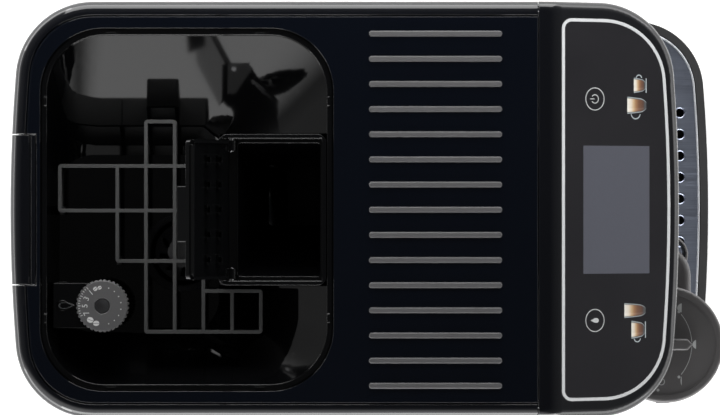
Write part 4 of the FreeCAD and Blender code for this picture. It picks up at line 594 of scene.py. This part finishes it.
def makeKnobPrints():
    look = knobLayout
    parts = []
    for text, angle in look["numbers"]:
        t = math.radians(angle)
        x, y = look["numberRadius"] * math.cos(t), look["numberRadius"] * math.sin(t)
        parts.append(numberPlate(text, x, y, look["size"], angle - 90))
    numberStep = look["numbers"][1][1] - look["numbers"][0][1]
    for angle in np.arange(look["tickFrom"], look["tickTo"], look["tickStep"]):
        t = math.radians(angle)
        long = look["longTick"] if angle % numberStep == 0 else 1.0
        r0, r1 = look["tickRadius"] - (long - 1) * look["tick"], look["tickRadius"] + look["tick"]
        c, s = math.cos(t), math.sin(t)
        parts.append(barPlate(r0 * c, r0 * s, r1 * c, r1 * s, look["line"]))
    for angle, size in look["beans"]:
        t = math.radians(angle)
        x, y = look["beanRadius"] * math.cos(t), look["beanRadius"] * math.sin(t)
        lean = t + look["beanLean"]
        half = np.linspace(-np.pi / 2, np.pi / 2, printSteps["bean"])
        for side in (-1, 1):  # a bean is two half ovals with a slot between them
            across = side * (look["beanSlot"] + look["beanWide"] * size * np.cos(half))
            tall = size * np.sin(half)
            parts.append(discPlate(x + across * math.cos(lean) - tall * math.sin(lean),
                                   y + across * math.sin(lean) + tall * math.cos(lean)))
    for angle in np.arange(*look["dotAngles"]):  # a plain row of dots on the far side
        t = math.radians(angle)
        x, y = look["dotRadius"] * math.cos(t), look["dotRadius"] * math.sin(t)
        parts.append(dotPlate(x, y, look["dot"]))
    addPiece("knobPrint", parts, knobPlace, inks["knob"], "grind_setting")


makeKnobPrints()
print("knob print made")


def capPlace(flat):
    # a towards +X, b to the front (-Y) from the selector's axis, on the dished top of the milk cap
    low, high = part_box("milk_cap")
    axis = np.array([(low.x + high.x) / 2, high.y - capLayout["axisFromRear"] * mm,
                     high.z - capLayout["dish"] * mm])
    return axis + mm * np.column_stack([flat[:, 0], -flat[:, 1], flat[:, 2] + printLift])


# the selector's arc runs to both sides of the front; heaps are the heights of the foam along it
capLayout = {"axisFromRear": 22.5, "dish": 0.5, "arc": 28.6, "line": 0.36, "dot": 0.85,
             "start": 3.0, "end": 43.0, "endGap": 4.0, "clean": -73.0,
             "heaps": (2.7, 2.1, 0.6), "heapOut": 3.4, "heapHalf": 2.7, "heapDown": 0.9, "heapRound": 1.5,
             "turnMark": (5.0, 2.0), "turnRadius": 1.9, "turnLine": 0.5, "turnSpan": (30, 330)}


def makeCapPrints():
    look = capLayout
    parts = []
    for sign in (-1, 1):
        start, end = sorted((90 + sign * look["start"], 90 + sign * (look["end"] - look["endGap"])))
        parts.append(arcPlate(0, 0, look["arc"], look["line"], start, end, printSteps["scale"]))
        t = math.radians(90 + sign * look["end"])
        parts.append(dotPlate(look["arc"] * math.cos(t), look["arc"] * math.sin(t), look["dot"]))
    for angle, size in zip((-look["end"], 0.0, look["end"]), look["heaps"]):
        t = math.radians(90 + angle)
        out = look["arc"] + look["heapOut"]
        x, y = out * math.cos(t), out * math.sin(t)
        s = np.linspace(0, np.pi, printSteps["heap"])
        parts.append(discPlate(x + look["heapHalf"] * np.cos(s),
                               y - look["heapDown"] - size * np.sin(s) ** look["heapRound"]))
    t = math.radians(90 - look["clean"])
    x, y = look["arc"] * math.cos(t), look["arc"] * math.sin(t)
    parts.append(dotPlate(x, y, look["dot"]))
    # a turning mark for taking the block apart
    dx, dy = look["turnMark"]
    parts.append(arcPlate(x + dx, y + dy, look["turnRadius"], look["turnLine"], *look["turnSpan"],
                          printSteps["turnMark"]))
    addPiece("capPrint", parts, capPlace, inks["grey"], "milk")


makeCapPrints()
print("milk cap print made")


def pointerPlace(flat):
    # a to the rear (+Y), b towards +X, on the raised pointer of the knob arm
    low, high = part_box("grind_knob")
    centre = np.array([(low.x + high.x) / 2, high.y + pointerLayout["fromKnob"] * mm,
                       low.z + pointerLayout["rise"] * mm])
    return centre + mm * np.column_stack([-flat[:, 1], flat[:, 0], flat[:, 2] + printLift])


pointerLayout = {"fromKnob": 6.4, "rise": 0.4, "length": 4.2, "half": 2.5, "line": 0.55, "point": 0.9}


def makePointerPrint():
    # a teardrop outline: a circle at the rear drawn out to a point at the knob;
    # two rings of the same curve
    look = pointerLayout
    t = np.linspace(0, 2 * np.pi, printSteps["teardrop"], endpoint=False)[:, None]
    share = np.array([1.0, 1.0 - look["line"] / look["half"]])[None, :]
    a = -look["length"] * np.cos(t) * share
    b = look["half"] * np.sin(t) * np.abs(np.sin(t / 2 + np.pi)) ** look["point"] * share
    addPiece("pointerPrint", [gridPlate(a, b, wrap=True)], pointerPlace, inks["faint"],
             "machine")


makePointerPrint()
print("pointer print made")


def turnedShape(radius, height, steps=64):
    # a closed profile radius(s), height(s) from axis to axis, carried round the axis;
    # its two ends are single points
    angle = np.linspace(0, 2 * np.pi, steps, endpoint=False)[:, None]
    r, z = radius[None, 1:-1], height[None, 1:-1]
    ring = np.stack([r * np.cos(angle), r * np.sin(angle), z + 0 * angle], -1)
    n = ring.shape[1]
    index = np.arange(steps * n).reshape(steps, n)
    after = np.roll(index, -1, 0)
    quads = np.stack([index[:, :-1], index[:, 1:], after[:, 1:], after[:, :-1]], -1).reshape(-1, 4)
    first, last = steps * n, steps * n + 1
    caps = [np.stack([np.full(steps, first), index[:, 0], after[:, 0]], -1),
            np.stack([np.full(steps, last), after[:, -1], index[:, -1]], -1)]
    ends = np.array([[0, 0, height[0]], [0, 0, height[-1]]])
    points = np.concatenate([ring.reshape(-1, 3), ends])
    return points, quads.tolist() + caps[0].tolist() + caps[1].tolist()


# the dished metal disc in the middle of the knob
knobDisc = {"radius": 3.9, "dimple": 1.2, "rim": 0.62, "middle": 0.12, "dish": 1.3, "rings": 12}


def makeKnobDisc():
    look = knobDisc
    share = np.linspace(0, 1, look["rings"])
    radius = np.concatenate([look["radius"] * share, [look["radius"], 0.0]])
    face = look["middle"] + (look["rim"] - look["middle"]) * share ** look["dish"]
    height = np.concatenate([face, [0.0, 0.0]])
    points, faces = turnedShape(radius, height - look["dimple"])
    addPiece("knobDisc", [(points, faces)], knobPlace, materials["turnedMetal"],
             "grind_setting")


makeKnobDisc()
print("knob disc made")

# the rolled edge of the drip grid: a small bead just inside its outline, in pale half-matt steel that is
# partly a painted highlight along the edge
gridLipGlint = {"radius": 0.6, "inset": 0.62, "rise": 0.1, "steps": 400, "sides": 12, "directions": 1440,
           "leastStep": 1e-6}


def makeGridLipGlint():
    # the outline is the grid's farthest points in each direction, walked at equal steps;
    # a circle is carried along it
    look = gridLipGlint
    mesh = nodes["drip_grid"].data
    points = np.empty(len(mesh.vertices) * 3)
    mesh.vertices.foreach_get("co", points)
    points = points.reshape(-1, 3) / mm
    turn = np.linspace(0, 2 * np.pi, look["directions"], endpoint=False)
    far = np.argmax(points[:, :2] @ np.stack([np.cos(turn), np.sin(turn)]), 0)
    corner = points[far[far != np.roll(far, 1)], :2]
    corner = corner[np.linalg.norm(corner - np.roll(corner, 1, 0), axis=1) > look["leastStep"]]
    loop = np.concatenate([corner, corner[:1]])
    length = np.concatenate([[0], np.cumsum(np.linalg.norm(np.diff(loop, axis=0), axis=1))])
    walk = np.linspace(0, length[-1], look["steps"], endpoint=False)
    path = np.stack([np.interp(walk, length, loop[:, k]) for k in (0, 1)], -1)
    along = np.roll(path, -1, 0) - np.roll(path, 1, 0)
    along /= np.linalg.norm(along, axis=1, keepdims=True)
    outward = np.stack([along[:, 1], -along[:, 0]], -1)
    angle = np.linspace(0, 2 * np.pi, look["sides"], endpoint=False)
    offset = look["radius"] * np.cos(angle) - look["inset"]
    ring = path[:, None, :] + offset[None, :, None] * outward[:, None, :]
    z = points[:, 2].max() + look["rise"] + look["radius"] * np.sin(angle)
    bead = np.concatenate([ring, np.broadcast_to(z[None, :, None], ring.shape[:2] + (1,))], -1)
    index = np.arange(look["steps"] * look["sides"]).reshape(look["steps"], look["sides"])
    after, beside = np.roll(index, -1, 0), np.roll(index, -1, 1)
    quads = np.stack([index, after, np.roll(after, -1, 1), beside], -1).reshape(-1, 4)
    # the bead's pale steel stands partly for a painted highlight along the grid's edge
    addPiece("gridLipGlint", [(bead.reshape(-1, 3), quads.tolist())], lambda flat: flat * mm,
             materials["lipGlintSteel"], "tray")


makeGridLipGlint()
print("grid lip made")

# floor, light and camera
# lamps are (place, size, radiance, seen in reflections), the key first and the others all round;
# the sky's stops are (height share, level) from the horizon up,
# and its side is a soft glow: (direction, where it starts, where it is full, level)
studio = {"floor": (0.86, 0.86, 0.86), "floorSize": 40.0, "floorRough": 0.9, "glow": 0.5, "aim": 0.35,
          "sky": ((0.0, 1.0), (0.2, 0.9), (0.34, 0.29), (0.75, 0.16), (0.93, 0.04)),
          "side": ((-0.9, 0.44, 0.0), 0.56, 0.86, 2.0),
          "lamps": (((0.22, 0.0, 0.50), (0.5, 0.1), 3.5, False),
                    ((-1.5, 0.0, 0.35), (1.8, 0.60), 7.0, True),
                    ((1.5, 0.0, 0.62), (1.6, 1.05), 6.4, True),
                    ((0.0, -1.6, 0.30), (1.6, 0.50), 2.0, True),
                    ((0.0, 1.6, 0.20), (1.6, 0.34), 4.0, True),
                    ((1.15, 1.15, 0.26), (1.3, 0.46), 6.0, True),
                    ((-1.15, 1.15, 0.26), (1.3, 0.46), 6.0, True),
                    ((1.15, -1.15, 0.26), (1.3, 0.46), 3.5, True),
                    ((-1.15, -1.15, 0.26), (1.3, 0.46), 3.5, True))}


def makeFloor():
    half = studio["floorSize"] / 2
    mesh = bpy.data.meshes.new("floor")
    corners = [(-half, -half, 0), (half, -half, 0), (half, half, 0), (-half, half, 0)]
    mesh.from_pydata(corners, [], [(0, 1, 2, 3)])
    floor = bpy.data.objects.new("floor", mesh)
    scene.collection.objects.link(floor)
    material = bpy.data.materials.new("paleFloor")
    material.use_nodes = True
    tree = material.node_tree
    shader = tree.nodes["Principled BSDF"]
    shader.inputs["Base Color"].default_value = (*studio["floor"], 1)
    shader.inputs["Roughness"].default_value = studio["floorRough"]
    shader.inputs["Emission Color"].default_value = (1, 1, 1, 1)
    path = addNode(tree, "ShaderNodeLightPath")
    total = None
    for ray in ("Is Camera Ray", "Is Glossy Ray", "Is Transmission Ray"):
        share = addNode(tree, "ShaderNodeMath", operation="MULTIPLY_ADD")
        share.inputs[1].default_value = studio["glow"]
        share.inputs[2].default_value = 0.0
        tree.links.new(path.outputs[ray], share.inputs[0])
        if total:
            tree.links.new(total, share.inputs[2])
        total = share.outputs[0]
    tree.links.new(total, shader.inputs["Emission Strength"])
    mesh.materials.append(material)


def makeWorld():
    # pale at the horizon, dark overhead like a studio ceiling, with a soft glow to one side
    world = bpy.data.worlds.new("studio")
    scene.world = world
    world.use_nodes = True
    tree = world.node_tree
    place = addNode(tree, "ShaderNodeTexCoord")
    split = addNode(tree, "ShaderNodeSeparateXYZ")
    tree.links.new(place.outputs["Generated"], split.inputs[0])
    shade = addNode(tree, "ShaderNodeValToRGB")
    stops = shade.color_ramp.elements
    for k, (height, level) in enumerate(studio["sky"]):
        stop = stops[k] if k < 2 else stops.new(height)
        stop.position = height
        stop.color = (level, level, level, 1)
    tree.links.new(split.outputs["Z"], shade.inputs[0])
    towards, start, full, level = studio["side"]
    facing = addNode(tree, "ShaderNodeVectorMath", operation="DOT_PRODUCT")
    facing.inputs[1].default_value = towards
    tree.links.new(place.outputs["Generated"], facing.inputs[0])
    side = mapRange(tree, facing.outputs["Value"], start, full, 0.0, level)
    total = addNode(tree, "ShaderNodeMix", data_type="RGBA", blend_type="ADD")
    total.inputs["Factor"].default_value = 1.0
    tree.links.new(shade.outputs[0], total.inputs[6])
    tree.links.new(side, total.inputs[7])
    tree.links.new(total.outputs[2], tree.nodes["Background"].inputs["Color"])


def makeLights():
    for k, (place, size, radiance, mirrored) in enumerate(studio["lamps"]):
        data = bpy.data.lights.new("softBox%d" % k, "AREA")
        data.shape = "RECTANGLE"
        data.size, data.size_y = size
        data.energy = radiance * math.pi * size[0] * size[1]
        lamp = bpy.data.objects.new("softBox%d" % k, data)
        lamp.location = place
        target = Vector((0, 0, min(place[2], studio["aim"])))
        lamp.rotation_euler = (target - lamp.location).to_track_quat("-Z", "Y").to_euler()
        lamp.visible_camera = False
        lamp.visible_glossy = mirrored
        scene.collection.objects.link(lamp)


# straight down over the machine, its front to the right of the picture
cameraSet = {"place": (0.00127, 0.0094, 3.353), "lens": 260.9, "sensor": 36.0, "far": 100}


def makeCamera():
    data = bpy.data.cameras.new("camera")
    data.lens = cameraSet["lens"]
    data.sensor_width = cameraSet["sensor"]
    data.clip_end = cameraSet["far"]
    camera = bpy.data.objects.new("camera", data)
    camera.location = cameraSet["place"]
    camera.rotation_euler = (0, 0, -math.pi / 2)
    scene.collection.objects.link(camera)
    scene.camera = camera


makeFloor()
makeWorld()
makeLights()
makeCamera()
print("stage, lights and camera set")
